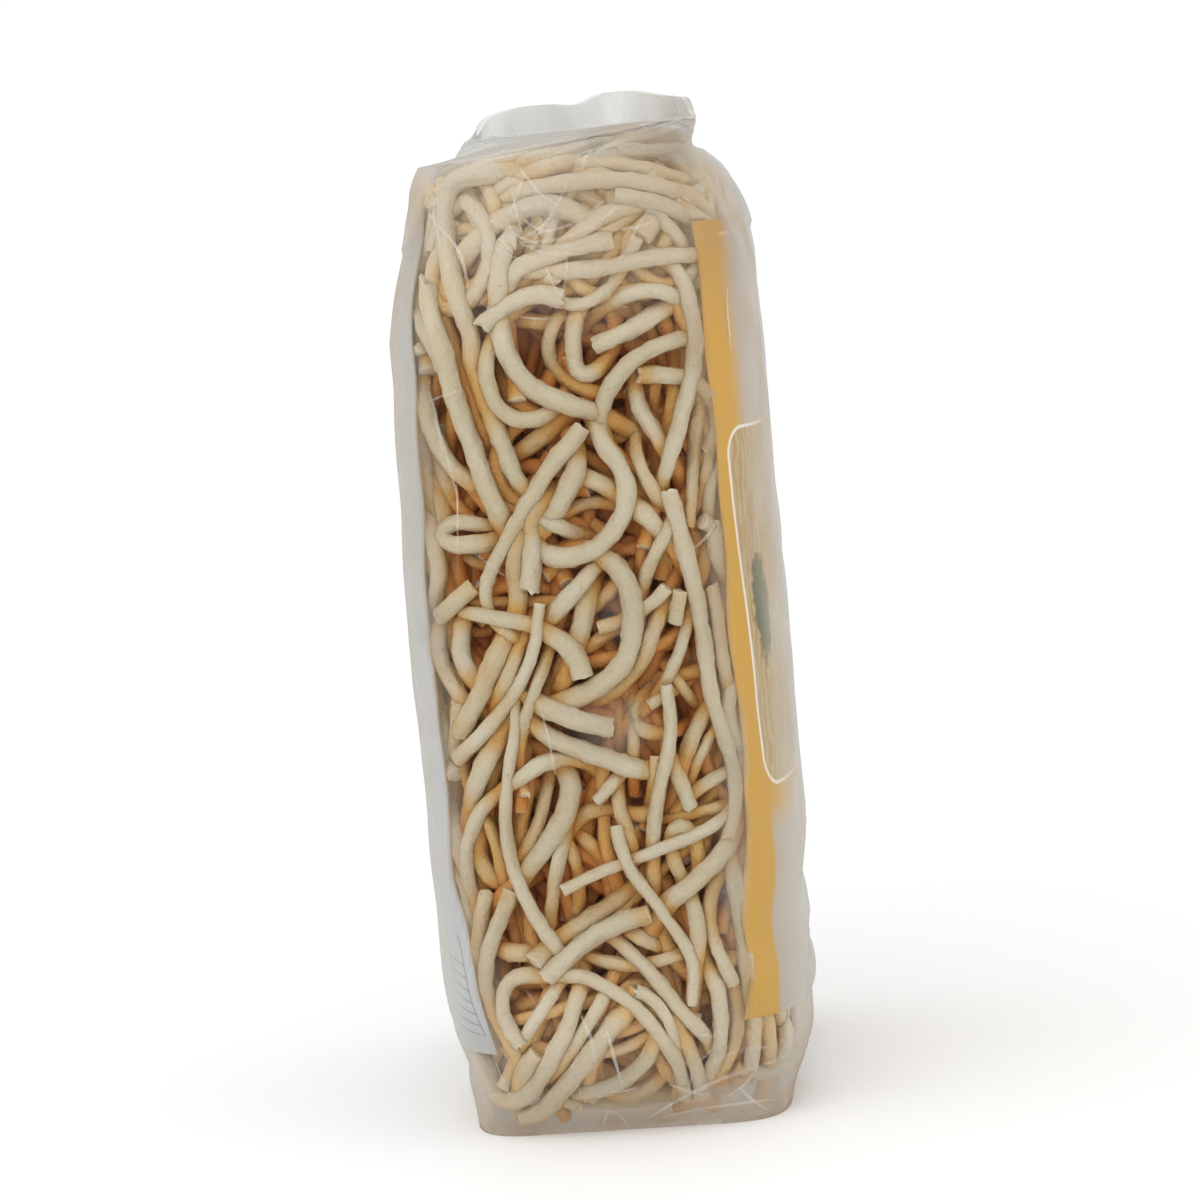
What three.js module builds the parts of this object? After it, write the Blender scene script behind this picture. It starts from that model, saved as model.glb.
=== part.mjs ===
// A clear film bag packed full of dried pancit canton noodles, standing on its folded end.
//
// The bag is one solid out to the uneven skin that the noodles press into the film: a rounded
// block, a roof where the film is gathered, and the limp sealed fin on top of it. Two printed
// cards lie in shallow beds in the broad faces, just under the film.
//
// Millimetres, +Z up. The origin is the centre of the base that the bag stands on. The broad
// faces look along +X (front card) and -X (back card), and the bare narrow sides along -Y and +Y.

import * as THREE from 'three';

// ---- Driving dimensions ----
const PACK_THICKNESS = 84; // X, at its fullest
const PACK_WIDTH = 150; // Y
const PACK_HEIGHT = 220; // Z, to the highest point of the sealed fin
const CORNER_POWER = 4.2; // squareness of the outline seen from above: 2 is an ellipse

// ---- Heights at which the shape changes ----
const BASE_RISE = 30; // the folded end widens up to here
const CARD_BOTTOM = 23;
const CARD_TOP = 189;
const SHOULDER_START = 120; // the block starts to narrow here
const SHOULDER_TOP = 207.5; // and ends here, under the roof of gathered film
const FIN_BASE = 213.5; // the roof ends here, in the two layers of the fin

// ---- How far the skin draws in ----
const BASE_DRAW_X = 8.8;
const BASE_DRAW_Y = 11;
const SHOULDER_DRAW_X = 11;
const SHOULDER_DRAW_Y = 5;
const SHOULDER_EASE = 4.8; // above 1, the shoulder starts gently
const FIN_HALF_WIDTH = 71;
const FIN_HALF_THICKNESS = 0.8;

// ---- The fin's limp shape ----
const FIN_LEAN = 4; // X of its middle
const FIN_SWAY = 24.5; // its ends flop this far to opposite sides
const FIN_CORNER_DROP = 6;
const FIN_NOTCH_DEPTH = 2.7;
const FIN_NOTCH_HALF_WIDTH = 9;

// ---- Bumps where noodles press into the film ----
const BUMP_HEIGHT = 1.9;
const BUMP_UNDER_CARD = 0.25; // share of it left where a stiff card bridges the bumps
const BUMP_WAVES = [
  { around: 5, up: 74, phase: 1.3 },
  { around: 9, up: 43, phase: 0.4 },
  { around: 14, up: 29, phase: 2.1 },
];
const BUMP_FADE = 16; // bumps grow over this height above the base and below the shoulder

// ---- Cards ----
const CARD_THICKNESS = 0.6;
const CARD_BELOW_SKIN = 0.1;
const CARD_GAP = 0.3; // clearance to the bag behind it
const CARD_BED_DEPTH = CARD_BELOW_SKIN + CARD_THICKNESS + CARD_GAP;

// ---- Mesh resolution ----
const COLUMNS = 52; // round the bag, a multiple of 4
const CARD_ROWS = 20;
const BASE_HEIGHTS = [0, 3, 8, 15]; // of the rings below the cards
const SHOULDER_RINGS = 3;
const ROOF_RINGS = 4;
const FIN_RINGS = 2;

const HALF_X = PACK_THICKNESS / 2;
const HALF_Y = PACK_WIDTH / 2;
const QUARTER = COLUMNS / 4;
const FRONT_CARD = { centre: 0, reach: 9 }; // in columns: it wraps round both corners
const BACK_CARD = { centre: 2 * QUARTER, reach: 8 };

const clamp01 = (value) => THREE.MathUtils.clamp(value, 0, 1);
const smooth = (value) => THREE.MathUtils.smoothstep(value, 0, 1);

function superellipse(angle, halfX, halfY) {
  const along = (part, half) => half * Math.sign(part) * Math.abs(part) ** (2 / CORNER_POWER);
  return new THREE.Vector2(along(Math.cos(angle), halfX), along(Math.sin(angle), halfY));
}

// Outward direction of the outline at a point of it.
function outlineNormal(point, halfX, halfY) {
  const slope = (value, half) =>
    (Math.sign(value) * Math.abs(value / half) ** (CORNER_POWER - 1)) / half;
  return new THREE.Vector2(slope(point.x, halfX), slope(point.y, halfY)).normalize();
}

// Angles of one quarter that split the fullest outline into equal lengths, turned into four.
function columnAngles() {
  const samples = 2000;
  const lengths = [0];
  let last = superellipse(0, HALF_X, HALF_Y);
  for (let i = 1; i <= samples; i += 1) {
    const next = superellipse(((i / samples) * Math.PI) / 2, HALF_X, HALF_Y);
    lengths.push(lengths[i - 1] + next.distanceTo(last));
    last = next;
  }
  const quarter = [];
  for (let column = 0, i = 0; column < QUARTER; column += 1) {
    while (lengths[i] < (column / QUARTER) * lengths[samples]) i += 1;
    quarter.push(((i / samples) * Math.PI) / 2);
  }
  const mirrored = [Math.PI / 2, ...quarter.slice(1).reverse().map((angle) => Math.PI - angle)];
  const half = [...quarter, ...mirrored];
  return [...half, ...half.map((angle) => angle + Math.PI)];
}

const ANGLES = columnAngles();

// A ring is one level of the skin: its half sizes, how much it sways, and for the fin its share
// of the way from the fin's base to its crest.
function wallRing(height) {
  const shoulder = clamp01((height - SHOULDER_START) / (SHOULDER_TOP - SHOULDER_START)) ** SHOULDER_EASE;
  const base = (1 - clamp01(height / BASE_RISE)) ** 2;
  return {
    height,
    halfX: HALF_X - BASE_DRAW_X * base - SHOULDER_DRAW_X * shoulder,
    halfY: HALF_Y - BASE_DRAW_Y * base - SHOULDER_DRAW_Y * shoulder,
    sway: 0,
    crest: 0,
  };
}

function roofRing(share) {
  const foot = wallRing(SHOULDER_TOP);
  return {
    height: SHOULDER_TOP + (FIN_BASE - SHOULDER_TOP) * Math.sin((share * Math.PI) / 2),
    halfX: THREE.MathUtils.lerp(foot.halfX, FIN_HALF_THICKNESS, share),
    halfY: THREE.MathUtils.lerp(foot.halfY, FIN_HALF_WIDTH, share),
    sway: share,
    crest: 0,
  };
}

function allRings() {
  const rings = BASE_HEIGHTS.map(wallRing);
  const firstCardRing = rings.length;
  for (let i = 0; i <= CARD_ROWS; i += 1) {
    rings.push(wallRing(THREE.MathUtils.lerp(CARD_BOTTOM, CARD_TOP, i / CARD_ROWS)));
  }
  for (let i = 1; i <= SHOULDER_RINGS; i += 1) {
    rings.push(wallRing(THREE.MathUtils.lerp(CARD_TOP, SHOULDER_TOP, i / SHOULDER_RINGS)));
  }
  for (let i = 1; i <= ROOF_RINGS; i += 1) rings.push(roofRing(i / ROOF_RINGS));
  for (let i = 1; i <= FIN_RINGS; i += 1) rings.push({ ...roofRing(1), crest: i / FIN_RINGS });
  return { rings, firstCardRing };
}

const { rings: RINGS, firstCardRing: FIRST_CARD_RING } = allRings();

function finSway(y) {
  return FIN_LEAN - FIN_SWAY * Math.sin((y / FIN_HALF_WIDTH) * (Math.PI / 2));
}

function finCrest(y) {
  const corner = FIN_CORNER_DROP * Math.abs(y / FIN_HALF_WIDTH) ** 6;
  const notch = FIN_NOTCH_DEPTH * Math.exp(-((y / FIN_NOTCH_HALF_WIDTH) ** 2));
  return PACK_HEIGHT - corner - notch;
}

function stepsFrom(column, centre) {
  const apart = Math.abs(column - centre) % COLUMNS;
  return Math.min(apart, COLUMNS - apart);
}

function underCard(column, ring) {
  const inRows = ring >= FIRST_CARD_RING && ring <= FIRST_CARD_RING + CARD_ROWS;
  return inRows && [FRONT_CARD, BACK_CARD].some((card) => stepsFrom(column, card.centre) <= card.reach);
}

function bump(column, ring) {
  const { height } = RINGS[ring];
  const turn = (column / COLUMNS) * 2 * Math.PI;
  let sum = 0;
  for (const { around, up, phase } of BUMP_WAVES) {
    sum += Math.sin(around * turn + phase) * Math.cos((height / up) * 2 * Math.PI + phase);
  }
  const fade = smooth(height / BUMP_FADE) * smooth((FIN_BASE - height) / BUMP_FADE);
  const share = underCard(column, ring) ? BUMP_UNDER_CARD : 1;
  return (BUMP_HEIGHT * share * fade * sum) / BUMP_WAVES.length;
}

// A point of the skin, drawn in by inset along the outline's normal.
function skinPoint(column, ring, inset = 0) {
  const wrapped = (column + COLUMNS) % COLUMNS;
  const { height, halfX, halfY, sway, crest } = RINGS[ring];
  const flat = superellipse(ANGLES[wrapped], halfX, halfY);
  const normal = outlineNormal(flat, halfX, halfY);
  const out = bump(wrapped, ring) - inset;
  return new THREE.Vector3(
    flat.x + normal.x * out + sway * finSway(flat.y),
    flat.y + normal.y * out,
    height + crest * (finCrest(flat.y) - FIN_BASE),
  );
}

function solidMesh(name, points, quads, material) {
  const geometry = new THREE.BufferGeometry();
  const used = quads.flatMap(([a, b, c, d]) => [a, b, c, a, c, d].map((i) => points[i]));
  // A quad with two equal corners is a triangle: its other half has no area.
  const triangles = [];
  for (let i = 0; i < used.length; i += 3) {
    const [p, q, r] = used.slice(i, i + 3);
    if (p !== q && q !== r && r !== p) triangles.push(p, q, r);
  }
  geometry.setFromPoints(triangles);
  geometry.computeVertexNormals();
  const mesh = new THREE.Mesh(geometry, material);
  mesh.name = name;
  return mesh;
}

function bagMesh(material) {
  const points = [];
  const quads = [];
  RINGS.forEach((_, ring) => {
    for (let column = 0; column < COLUMNS; column += 1) {
      points.push(skinPoint(column, ring, underCard(column, ring) ? CARD_BED_DEPTH : 0));
    }
  });
  const at = (ring, column) => ring * COLUMNS + (column % COLUMNS);
  for (let ring = 0; ring < RINGS.length - 1; ring += 1) {
    for (let column = 0; column < COLUMNS; column += 1) {
      quads.push([
        at(ring, column),
        at(ring, column + 1),
        at(ring + 1, column + 1),
        at(ring + 1, column),
      ]);
    }
  }
  // Each end is closed by a strip between columns that face each other across X.
  const top = RINGS.length - 1;
  for (let step = 0; step < 2 * QUARTER; step += 1) {
    const right = (ring, k) => at(ring, QUARTER - k + COLUMNS);
    const left = (ring, k) => at(ring, QUARTER + k);
    quads.push([right(top, step), left(top, step), left(top, step + 1), right(top, step + 1)]);
    quads.push([left(0, step), right(0, step), right(0, step + 1), left(0, step + 1)]);
  }
  return solidMesh('noodle_bag', points, quads, material);
}

function cardMesh(name, card, material) {
  const points = [];
  const quads = [];
  const columns = 2 * card.reach;
  const sides = [CARD_BELOW_SKIN, CARD_BELOW_SKIN + CARD_THICKNESS];
  for (const inset of sides) {
    for (let row = 0; row <= CARD_ROWS; row += 1) {
      for (let i = 0; i <= columns; i += 1) {
        points.push(skinPoint(card.centre - card.reach + i, FIRST_CARD_RING + row, inset));
      }
    }
  }
  const at = (side, row, i) => (side * (CARD_ROWS + 1) + row) * (columns + 1) + i;
  for (let row = 0; row < CARD_ROWS; row += 1) {
    for (let i = 0; i < columns; i += 1) {
      quads.push([at(0, row, i), at(0, row, i + 1), at(0, row + 1, i + 1), at(0, row + 1, i)]);
      quads.push([at(1, row, i), at(1, row + 1, i), at(1, row + 1, i + 1), at(1, row, i + 1)]);
    }
    quads.push([at(0, row + 1, 0), at(1, row + 1, 0), at(1, row, 0), at(0, row, 0)]);
    quads.push([
      at(0, row, columns),
      at(1, row, columns),
      at(1, row + 1, columns),
      at(0, row + 1, columns),
    ]);
  }
  for (let i = 0; i < columns; i += 1) {
    quads.push([at(0, 0, i), at(1, 0, i), at(1, 0, i + 1), at(0, 0, i + 1)]);
    quads.push([
      at(0, CARD_ROWS, i + 1),
      at(1, CARD_ROWS, i + 1),
      at(1, CARD_ROWS, i),
      at(0, CARD_ROWS, i),
    ]);
  }
  return solidMesh(name, points, quads, material);
}

const noodleMaterial = new THREE.MeshStandardMaterial({
  color: new THREE.Color(0.83, 0.75, 0.6),
  roughness: 0.55,
  metalness: 0,
});
const frontCardMaterial = new THREE.MeshStandardMaterial({
  color: new THREE.Color(0.87, 0.66, 0.24),
  roughness: 0.5,
  metalness: 0,
});
const backCardMaterial = new THREE.MeshStandardMaterial({
  color: new THREE.Color(0.82, 0.83, 0.83),
  roughness: 0.5,
  metalness: 0,
});

const pack = new THREE.Group();
pack.add(bagMesh(noodleMaterial));
pack.add(cardMesh('front_card', FRONT_CARD, frontCardMaterial));
pack.add(cardMesh('back_card', BACK_CARD, backCardMaterial));

export default pack;
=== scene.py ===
"""A clear film pack of dried pancit canton noodles: film, two cards and strands on the CAD frame.

Lengths are in millimetres, turned into metres where a mesh is made. The bare narrow side looks
along -Y, and the front card along +X.
"""

import math

import bpy
import numpy as np
from mathutils import Matrix, Vector
from mathutils.kdtree import KDTree


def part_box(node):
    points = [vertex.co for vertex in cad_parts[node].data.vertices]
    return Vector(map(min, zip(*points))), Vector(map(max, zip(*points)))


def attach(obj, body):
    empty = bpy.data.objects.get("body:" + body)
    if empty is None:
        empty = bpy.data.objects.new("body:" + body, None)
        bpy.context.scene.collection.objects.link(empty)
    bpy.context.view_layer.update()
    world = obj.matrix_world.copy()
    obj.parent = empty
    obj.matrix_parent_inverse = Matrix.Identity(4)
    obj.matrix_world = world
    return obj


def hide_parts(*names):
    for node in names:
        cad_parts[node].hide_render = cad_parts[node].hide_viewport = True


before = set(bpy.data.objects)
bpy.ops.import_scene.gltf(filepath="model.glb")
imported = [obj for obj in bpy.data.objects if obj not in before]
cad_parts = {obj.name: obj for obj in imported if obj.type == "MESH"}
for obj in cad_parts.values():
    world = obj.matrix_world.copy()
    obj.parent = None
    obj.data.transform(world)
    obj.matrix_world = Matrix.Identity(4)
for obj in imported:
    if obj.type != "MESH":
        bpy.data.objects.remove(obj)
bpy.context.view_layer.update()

# ---- The pack's form, after the CAD model ----
PACK_HEIGHT = 220
HALF_X = 41  # a millimetre inside the CAD model, as strands press the film out
HALF_Y = 74
CORNER_POWER = 4.2
BASE_RISE = 30
SHOULDER_START = 120
SHOULDER_TOP = 207.5
FIN_BASE = 213.5
BASE_DRAW = (8.8, 11)
SHOULDER_DRAW = (11, 5)
SHOULDER_EASE = 4.8
FIN_HALF_WIDTH = 71
FIN_HALF_THICKNESS = 0.8
FIN_LEAN = 3
FIN_SWAY = 26
FIN_FAR_SWAY = 28  # the far end lies further over
FIN_FOOT_SWAY = (1, 3.6)  # how much further over the fin's foot lies, at its near and its far end
ROOF_BULGE = 2.7  # how far the film stands out to both sides under the fin's ends
# The fin's upper edge along y: two lobes with a notch between them, and low at its far end.
FIN_CREST = [
    (-71, 214.6), (-68, 216.3), (-62, 217.3), (-57, 218), (-43, 218.6), (-35, 219.5), (-25, 220.8),
    (-16, 221.2), (-9, 221.1), (-4, 220.2), (1, 219), (5, 219.3), (12, 220), (25, 220.2), (33, 219.7),
    (41, 219.1), (49, 218.2), (57, 217), (64, 215.8), (71, 214.2),
]
CREST_EASE = 2.5  # how far along the fin its corners are rounded off
PLEAT = 0.3  # how far the gathered film is pleated in and out
PLEAT_SLANT = 2  # columns of the film from one row to the next
PLEAT_HAZE = 0.22  # how much milkier a pleat makes the film
FIN_PLEATS = 46
BUMP_HEIGHT = 1.9
BUMP_UNDER_CARD = 0.25
BUMP_WAVES = ((5, 74, 1.3), (9, 43, 0.4), (14, 29, 2.1))  # round the bag, up it, and phase
BUMP_FADE = 16
CARD_BOTTOM = 23
CARD_TOP = 189
FRONT_REACH = 9 / 52  # half width of a card, as a share of the way round the bag
BACK_REACH = 8 / 52

# The cards as the photo shows them: how far their upright edges lie beyond their place in the CAD
# model, by height, and the heights of their ends.
CARD_EDGES = {
    "front": [
        (23, 2.6), (30, 2.2), (37, 1.6), (44, 2.1), (50, 2.6), (56, 2.3), (63, 1.2), (80, -0.7), (95, 0.1),
        (110, 0.5), (120, 0.4), (133, 0.1), (177, 0), (184, 0.3), (192, -0.1),
    ],
    "back": [
        (19, 8.3), (25, 9.1), (30, 9), (37, 8.3), (46, 5.6), (55, 2.5), (68, 2.4), (75, 2.8), (88, 3.2),
        (95, 3.9), (105, 2.3), (120, 2.1), (150, 3), (170, 3.4), (180, 1.7), (190, 1.5), (199, 0.3),
    ],
}
CARD_ENDS = {"front": (23, 192), "back": (18.5, 199)}

# How far the broad faces lie beyond the CAD model's, by height: most at the unevenly folded foot.
BACK_BEYOND = [
    (0, 1.2), (6, 0), (9, -0.8), (14, -2.6), (18, -2.8), (25, -1.6), (31, -1.2), (45, -0.9), (56, -0.6),
    (68, -0.7), (78, -0.1), (88, 0), (97, 0.6), (107, 0.8), (119, 0.4), (132, 0), (160, 0), (170, 0.6),
    (176, 0), (186, -0.9), (193, -1.5), (198, -0.6), (203, 0.6), (207.5, 1.2),
]
FRONT_BEYOND = [
    (0, 3), (5, 2.2), (9.5, 2.4), (14, 2.1), (18, 0.9), (23, -0.6), (28, -0.2), (33, 0.3), (40, -0.8),
    (44, -0.9), (50, 0.3), (56, 1), (63, 0.7), (75, 0.4), (95, 0.4), (104, 0), (120, -0.3), (133, -0.8),
    (155, -0.7), (165, -0.6), (177, -0.2), (184, 0.9), (192, 1.2), (200, 1.7), (204, 0.7), (207.5, -1.1),
]
FOOT_CORNER = 0.08  # the folded end's corners stick out by this share
FOOT_CORNER_RISE = 12

bag_low, bag_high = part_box("noodle_bag")
MM = (bag_high.z - bag_low.z) / PACK_HEIGHT  # metres in a millimetre of the CAD model

# ---- Camera: its place, what it looks at, its lens, and how far it is rolled ----
CAMERA_AZIMUTH = math.radians(3)
CAMERA_PLACE = np.array([1000 * math.sin(CAMERA_AZIMUTH), -1000 * math.cos(CAMERA_AZIMUTH), 200])
CAMERA_TARGET = np.array([-0.8, 0, 108])
CAMERA_ROLL = math.radians(4.3)
CAMERA_LENS = 133.5
SENSOR_WIDTH = 36
SIGHT_PLANE_Y = -70  # the strands' x and z below are where they are seen on this plane

# ---- Strands seen through the bare narrow side ----
# Thickness, depth under the film, and the points that the strand passes, as x and height. A pair is
# the value at the first point and at the last. The word tells which ends are in sight: the others
# carry on under the strands beside them.
SIDE_STRANDS = [
    # under the shoulder
    (3.6, 2, [(-6, 204.5), (-2, 204.8), (4, 205.3), (10.5, 205.5), (17, 204), (23.3, 201.8)]),
    (3.2, 0.8, [(-4, 201.2), (0.5, 201.8), (7, 202), (13.4, 201.7), (19.8, 200.3), (24.6, 198.7),
        (28.8, 196.9), (31.2, 194.5), (32, 192)]),
    (3.6, 1.5, [(12.5, 198.5), (16.6, 197.7), (21.5, 195.9), (25.7, 194), (29, 192.3)], "first"),
    (3, 3, [(26.5, 195.5), (29, 194), (31, 191)]),
    (2.8, 3, [(13.7, 208), (20.2, 207.3), (25, 207.1), (28.5, 206.8)]),
    (2.8, 2.5, [(28.4, 206), (30, 204.4), (30.8, 202.8), (29.4, 201.2), (27.4, 200.4)]),
    (4.2, 1.8, [(-21.3, 186.2), (-19.2, 189.2), (-16.6, 191.9), (-13.3, 194.3), (-9.7, 196.1),
        (-5.8, 197.6), (-2, 197.8), (1, 197), (3.5, 195.8)]),
    (3.2, 3.5, [(-15, 197.5), (-13.5, 200), (-11.2, 202), (-9, 202.6), (-6, 201.4), (-3.8, 199.9)]),
    (3.4, (1, 9), [(-17.8, 201), (-18.5, 197.5)], "first"),
    (3, 2.5, [(-27.6, 204.3), (-26.8, 203.6), (-25.7, 201.1), (-25.2, 197.7)]),
    (3.6, 4.5, [(-7.2, 190.9), (-4.2, 192.8), (0.1, 194.1), (5.2, 194.6), (10.1, 193.8), (14.6, 191.6),
        (18.1, 188.6)]),
    (4, 4, [(13.9, 188.1), (15.7, 190.5), (18, 192.4), (20, 194.3)]),
    (3, 2, [(24.4, 196.5), (26.9, 194.6), (28.9, 193.2)], "first"),
    # long runs down the left
    ((4.4, 3.8), 1.5, [(-10.5, 204.9), (-14.7, 205), (-18.3, 204.7), (-20.9, 203.7), (-22.6, 201.5),
        (-23.3, 197.5), (-23.5, 193), (-23.5, 189.5), (-22.8, 183.5), (-21.8, 178.1), (-20.3, 173.1),
        (-19.7, 169), (-19.9, 166), (-19, 161.5), (-17.7, 156.6), (-15.9, 151.2), (-14.4, 146.3),
        (-12.8, 141.5), (-11, 138.5)]),
    (4.5, 0.8, [(-28, 182.5), (-28.5, 178), (-27.5, 174), (-26.4, 170), (-25.4, 165.7), (-24.7, 160.9),
        (-23.6, 156.2), (-22.4, 152.3), (-21.2, 148.3), (-20.2, 144.3), (-19.2, 140.3), (-17.8, 136.4),
        (-16.5, 133), (-15.2, 130)], "first"),
    (3.8, 4.5, [(-25.5, 181), (-25.2, 176), (-24, 171), (-22.6, 166), (-21.3, 161), (-20, 156),
        (-18.5, 151)]),
    (4.2, (2, 0), [(-9, 190.8), (-10.4, 191.3), (-12, 188.6), (-13.1, 183.9), (-13.7, 179.2),
        (-13.8, 174.3), (-13.4, 169.8), (-12.5, 166.7), (-10.9, 163.5), (-9, 160.8), (-6.2, 158.5),
        (-3.2, 157), (0, 155.5), (2.7, 154.7), (5, 153.6)], "first"),
    (3.3, 1, [(-15.3, 170.8), (-16.4, 168.3), (-17.2, 164.5), (-16.9, 160.6), (-15.8, 157),
        (-13.6, 154.6), (-10.7, 153.2), (-7.4, 153.3), (-4.9, 154.3)]),
    (4, 5, [(-15, 172), (-14, 164), (-12.5, 158), (-9, 155)]),
    (3.6, 1.5, [(-17.5, 173.5), (-15, 175.5), (-12, 177.3), (-9, 178.6), (-6, 179.3), (-3, 179),
        (-0.5, 177.8)], "both"),
    # upper middle and right
    (3.4, 0.5, [(-9.5, 184.3), (-8.2, 185.4), (-5.1, 186.3), (-0.6, 187.6), (4.2, 188.5), (9.4, 189.2),
        (11, 189.3)], "last"),
    (3.4, 1, [(-4, 183.9), (-2.2, 183.8), (2.6, 183.7), (7.4, 183.6), (12.3, 184.1), (17.1, 184.9),
        (21.9, 185.2), (25.1, 185.2), (28.5, 184.9)]),
    (3.3, 3.5, [(6.7, 180.3), (4.2, 177.3), (2.4, 174), (1.6, 170.5), (1.2, 167), (1.3, 164), (2.2, 162),
        (4, 161.5), (5.6, 162.3)]),
    (2.9, 5, [(-1.6, 173.6), (-3.1, 171.4), (-3.9, 168.3), (-3.6, 165), (-2, 162.4), (0.5, 160),
        (3.4, 158.6), (5.8, 157.9)]),
    (3.7, 1.5, [(6.1, 167.7), (9, 168.8), (12.6, 170.1), (16.4, 172), (20, 173.8), (22, 175)], "first"),
    (3.2, 2, [(10.3, 176.5), (13.5, 177.7), (17.3, 178.4), (20.5, 178), (23.1, 176.7)]),
    (3.4, 0.2, [(23.6, 182.6), (25.1, 180.3), (25.8, 177), (26.3, 173.7), (26.8, 170.6), (27, 168.2),
        (26.6, 165), (25.8, 161.3), (24.8, 157.5), (23.7, 154.4), (22.6, 151.3), (21.7, 148.1),
        (20.4, 145.3), (19.5, 142.4), (18.7, 140.5)]),
    (3.6, 0.8, [(24.7, 167.8), (21.9, 167.5), (18.7, 166.5), (15.1, 165), (12.1, 162.9), (9.3, 160.2),
        (7.4, 157.2), (6.1, 154), (5.8, 151.2), (6.2, 148.6)]),
    (3.3, 4, [(6.5, 148.2), (9, 148.5), (12, 150), (14, 152)]),
    (3.5, 1.2, [(14.9, 161), (18.3, 160.6), (21.5, 160.2), (24.7, 159.5), (27.2, 157.7), (29.3, 155.2),
        (30, 153)], "first"),
    (3.3, 2.5, [(13.5, 158.3), (14, 154.6), (15.6, 151.2), (17.5, 147.7), (18.8, 145)]),
    (3, 5, [(17.6, 158), (17.1, 154.5), (17.5, 151.3)]),
    (3, 3.5, [(21.6, 157.4), (21, 153.6), (19.8, 149.5)]),
    (2.6, 4, [(13.6, 151.5), (12.8, 147.6), (12.9, 144.2), (13.8, 140.6), (15.3, 137.2), (17, 134.5)]),
    ((3, 2.4), 0.4, [(25.8, 150), (25.2, 147), (24.8, 143), (24.3, 139.5), (23.8, 136), (23.4, 132.5),
        (22.8, 128.8)], "last"),
    (2.8, 3, [(25.9, 153.6), (27.2, 150.9), (28.2, 147.6), (28.3, 144), (27.5, 140.2), (26.5, 137.2)]),
    (2.5, 2, [(20.5, 143), (22.2, 140.3)]),
    # the ring in the middle and what crosses it
    ((3.3, 4.2), (2, 0.2), [(5.5, 148.5), (6.3, 146.5), (8.1, 144.2), (9.7, 140.8), (10.3, 137.5),
        (10, 134.8), (9.2, 132.2), (7.7, 129.7), (5.6, 127.4), (3, 125.3), (0, 124.2), (-3.6, 123.7),
        (-6.5, 124.3), (-9, 126), (-10.8, 128.5)]),
    (3.6, 2.5, [(1, 140.8), (4.2, 139.3), (7.4, 137.3), (10.5, 135), (12.6, 133), (14.6, 130.6),
        (16.4, 128.2), (17.6, 126.5)]),
    ((3.9, 2.6), 0, [(1.8, 150.8), (-0.6, 148.1), (-3.8, 144.7), (-6.7, 141.4), (-9, 138), (-11.7, 134.5),
        (-14.2, 130.8), (-16.3, 127.4), (-18.5, 124), (-20.2, 121), (-21, 118), (-21, 116)], "first"),
    (3.9, 1.8, [(0.2, 146.1), (0, 142.9), (-1, 139.8), (-2.3, 138), (-3.8, 135.3), (-6, 132.6),
        (-8, 130.5)]),
    (3.6, 2.8, [(-15, 149), (-16.5, 145.5), (-16.2, 141.5), (-14.5, 138), (-12, 135.5)]),
    (3.4, 2, [(-30.3, 156.4), (-29.5, 152.1), (-28, 148.2), (-26.1, 144.8), (-23.6, 142.1),
        (-21, 139.9)]),
    (3.2, 5, [(-28.8, 141.1), (-26.6, 137.7), (-23.9, 134.4)]),
    (4, 1.2, [(-12.5, 131), (-14.1, 125.5), (-14.5, 121.8), (-14.1, 117.8), (-14.5, 114.6), (-15, 112),
        (-16.8, 108.9), (-18.7, 105.9), (-20.5, 102.6), (-22.8, 98.2), (-24.5, 95), (-26.4, 92.3),
        (-28.7, 88.3)], "last"),
    (4.3, 0.8, [(-9.5, 134), (-10.6, 131.8), (-10.3, 127.9), (-10.6, 124), (-11.2, 120.2),
        (-11.5, 117.8)], "last"),
    (3.3, (1.5, 4), [(-11, 133.5), (-8.4, 132.3), (-5.1, 130.8), (-1.9, 129.1), (1.6, 127.6),
        (2.5, 127)]),
    (2.8, 3, [(-0.6, 134.4), (2.3, 135.2), (5.2, 135), (7.8, 134.3)]),
    (3, 4, [(0.6, 131.9), (3, 130.3), (4.9, 128.5)]),
    (2.8, 1.3, [(17.8, 127.5), (15.8, 124.2), (14, 121.3), (12.8, 118.4), (12, 116)]),
    (2.8, 5, [(13.4, 128), (12.5, 124), (12, 120)]),
    # long runs down the right
    ((3.6, 2.5), 0.8, [(18.9, 136), (19.8, 132.5), (20.4, 129), (21.1, 125.3), (21.8, 121.7),
        (22.5, 117.8), (23.2, 113.5), (23.6, 109.2), (24.1, 104.8), (24.2, 99.8), (24.6, 95.2),
        (25, 91.4), (26, 87.4), (26.9, 83.7), (27.6, 80.4), (28.2, 77.1), (28.5, 73.8),
        (28.4, 71.1)], "first"),
    (3, 3.5, [(29.3, 134.7), (28.2, 129.9), (26.6, 125), (25, 120.2)]),
    ((2.8, 2.4), (3, 0.2), [(26.5, 115.5), (27.2, 110), (27.5, 104), (27.9, 97.5), (28.4, 91.8),
        (29.1, 87.2), (29.7, 82.5), (30.1, 78.3), (30, 74.7), (29.3, 71.4), (27.2, 68.2), (24, 65.7),
        (20.4, 63.9), (16.5, 62.5), (12.5, 61.2), (8.4, 59.9), (4, 58.5), (-0.5, 57.1), (-5, 55.4),
        (-9.3, 53.5)], "both"),
    (4.2, (1.8, 0.5), [(2.5, 124.5), (4.7, 123.2), (6.8, 121.5), (8.4, 118.4), (9.3, 115.1), (9.5, 111.8),
        (9.3, 108.6), (8.8, 105.2), (7.6, 102), (5.6, 99.4), (2.4, 97.1), (-1, 95.3), (-4.2, 94.1),
        (-7, 93.3)]),
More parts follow.
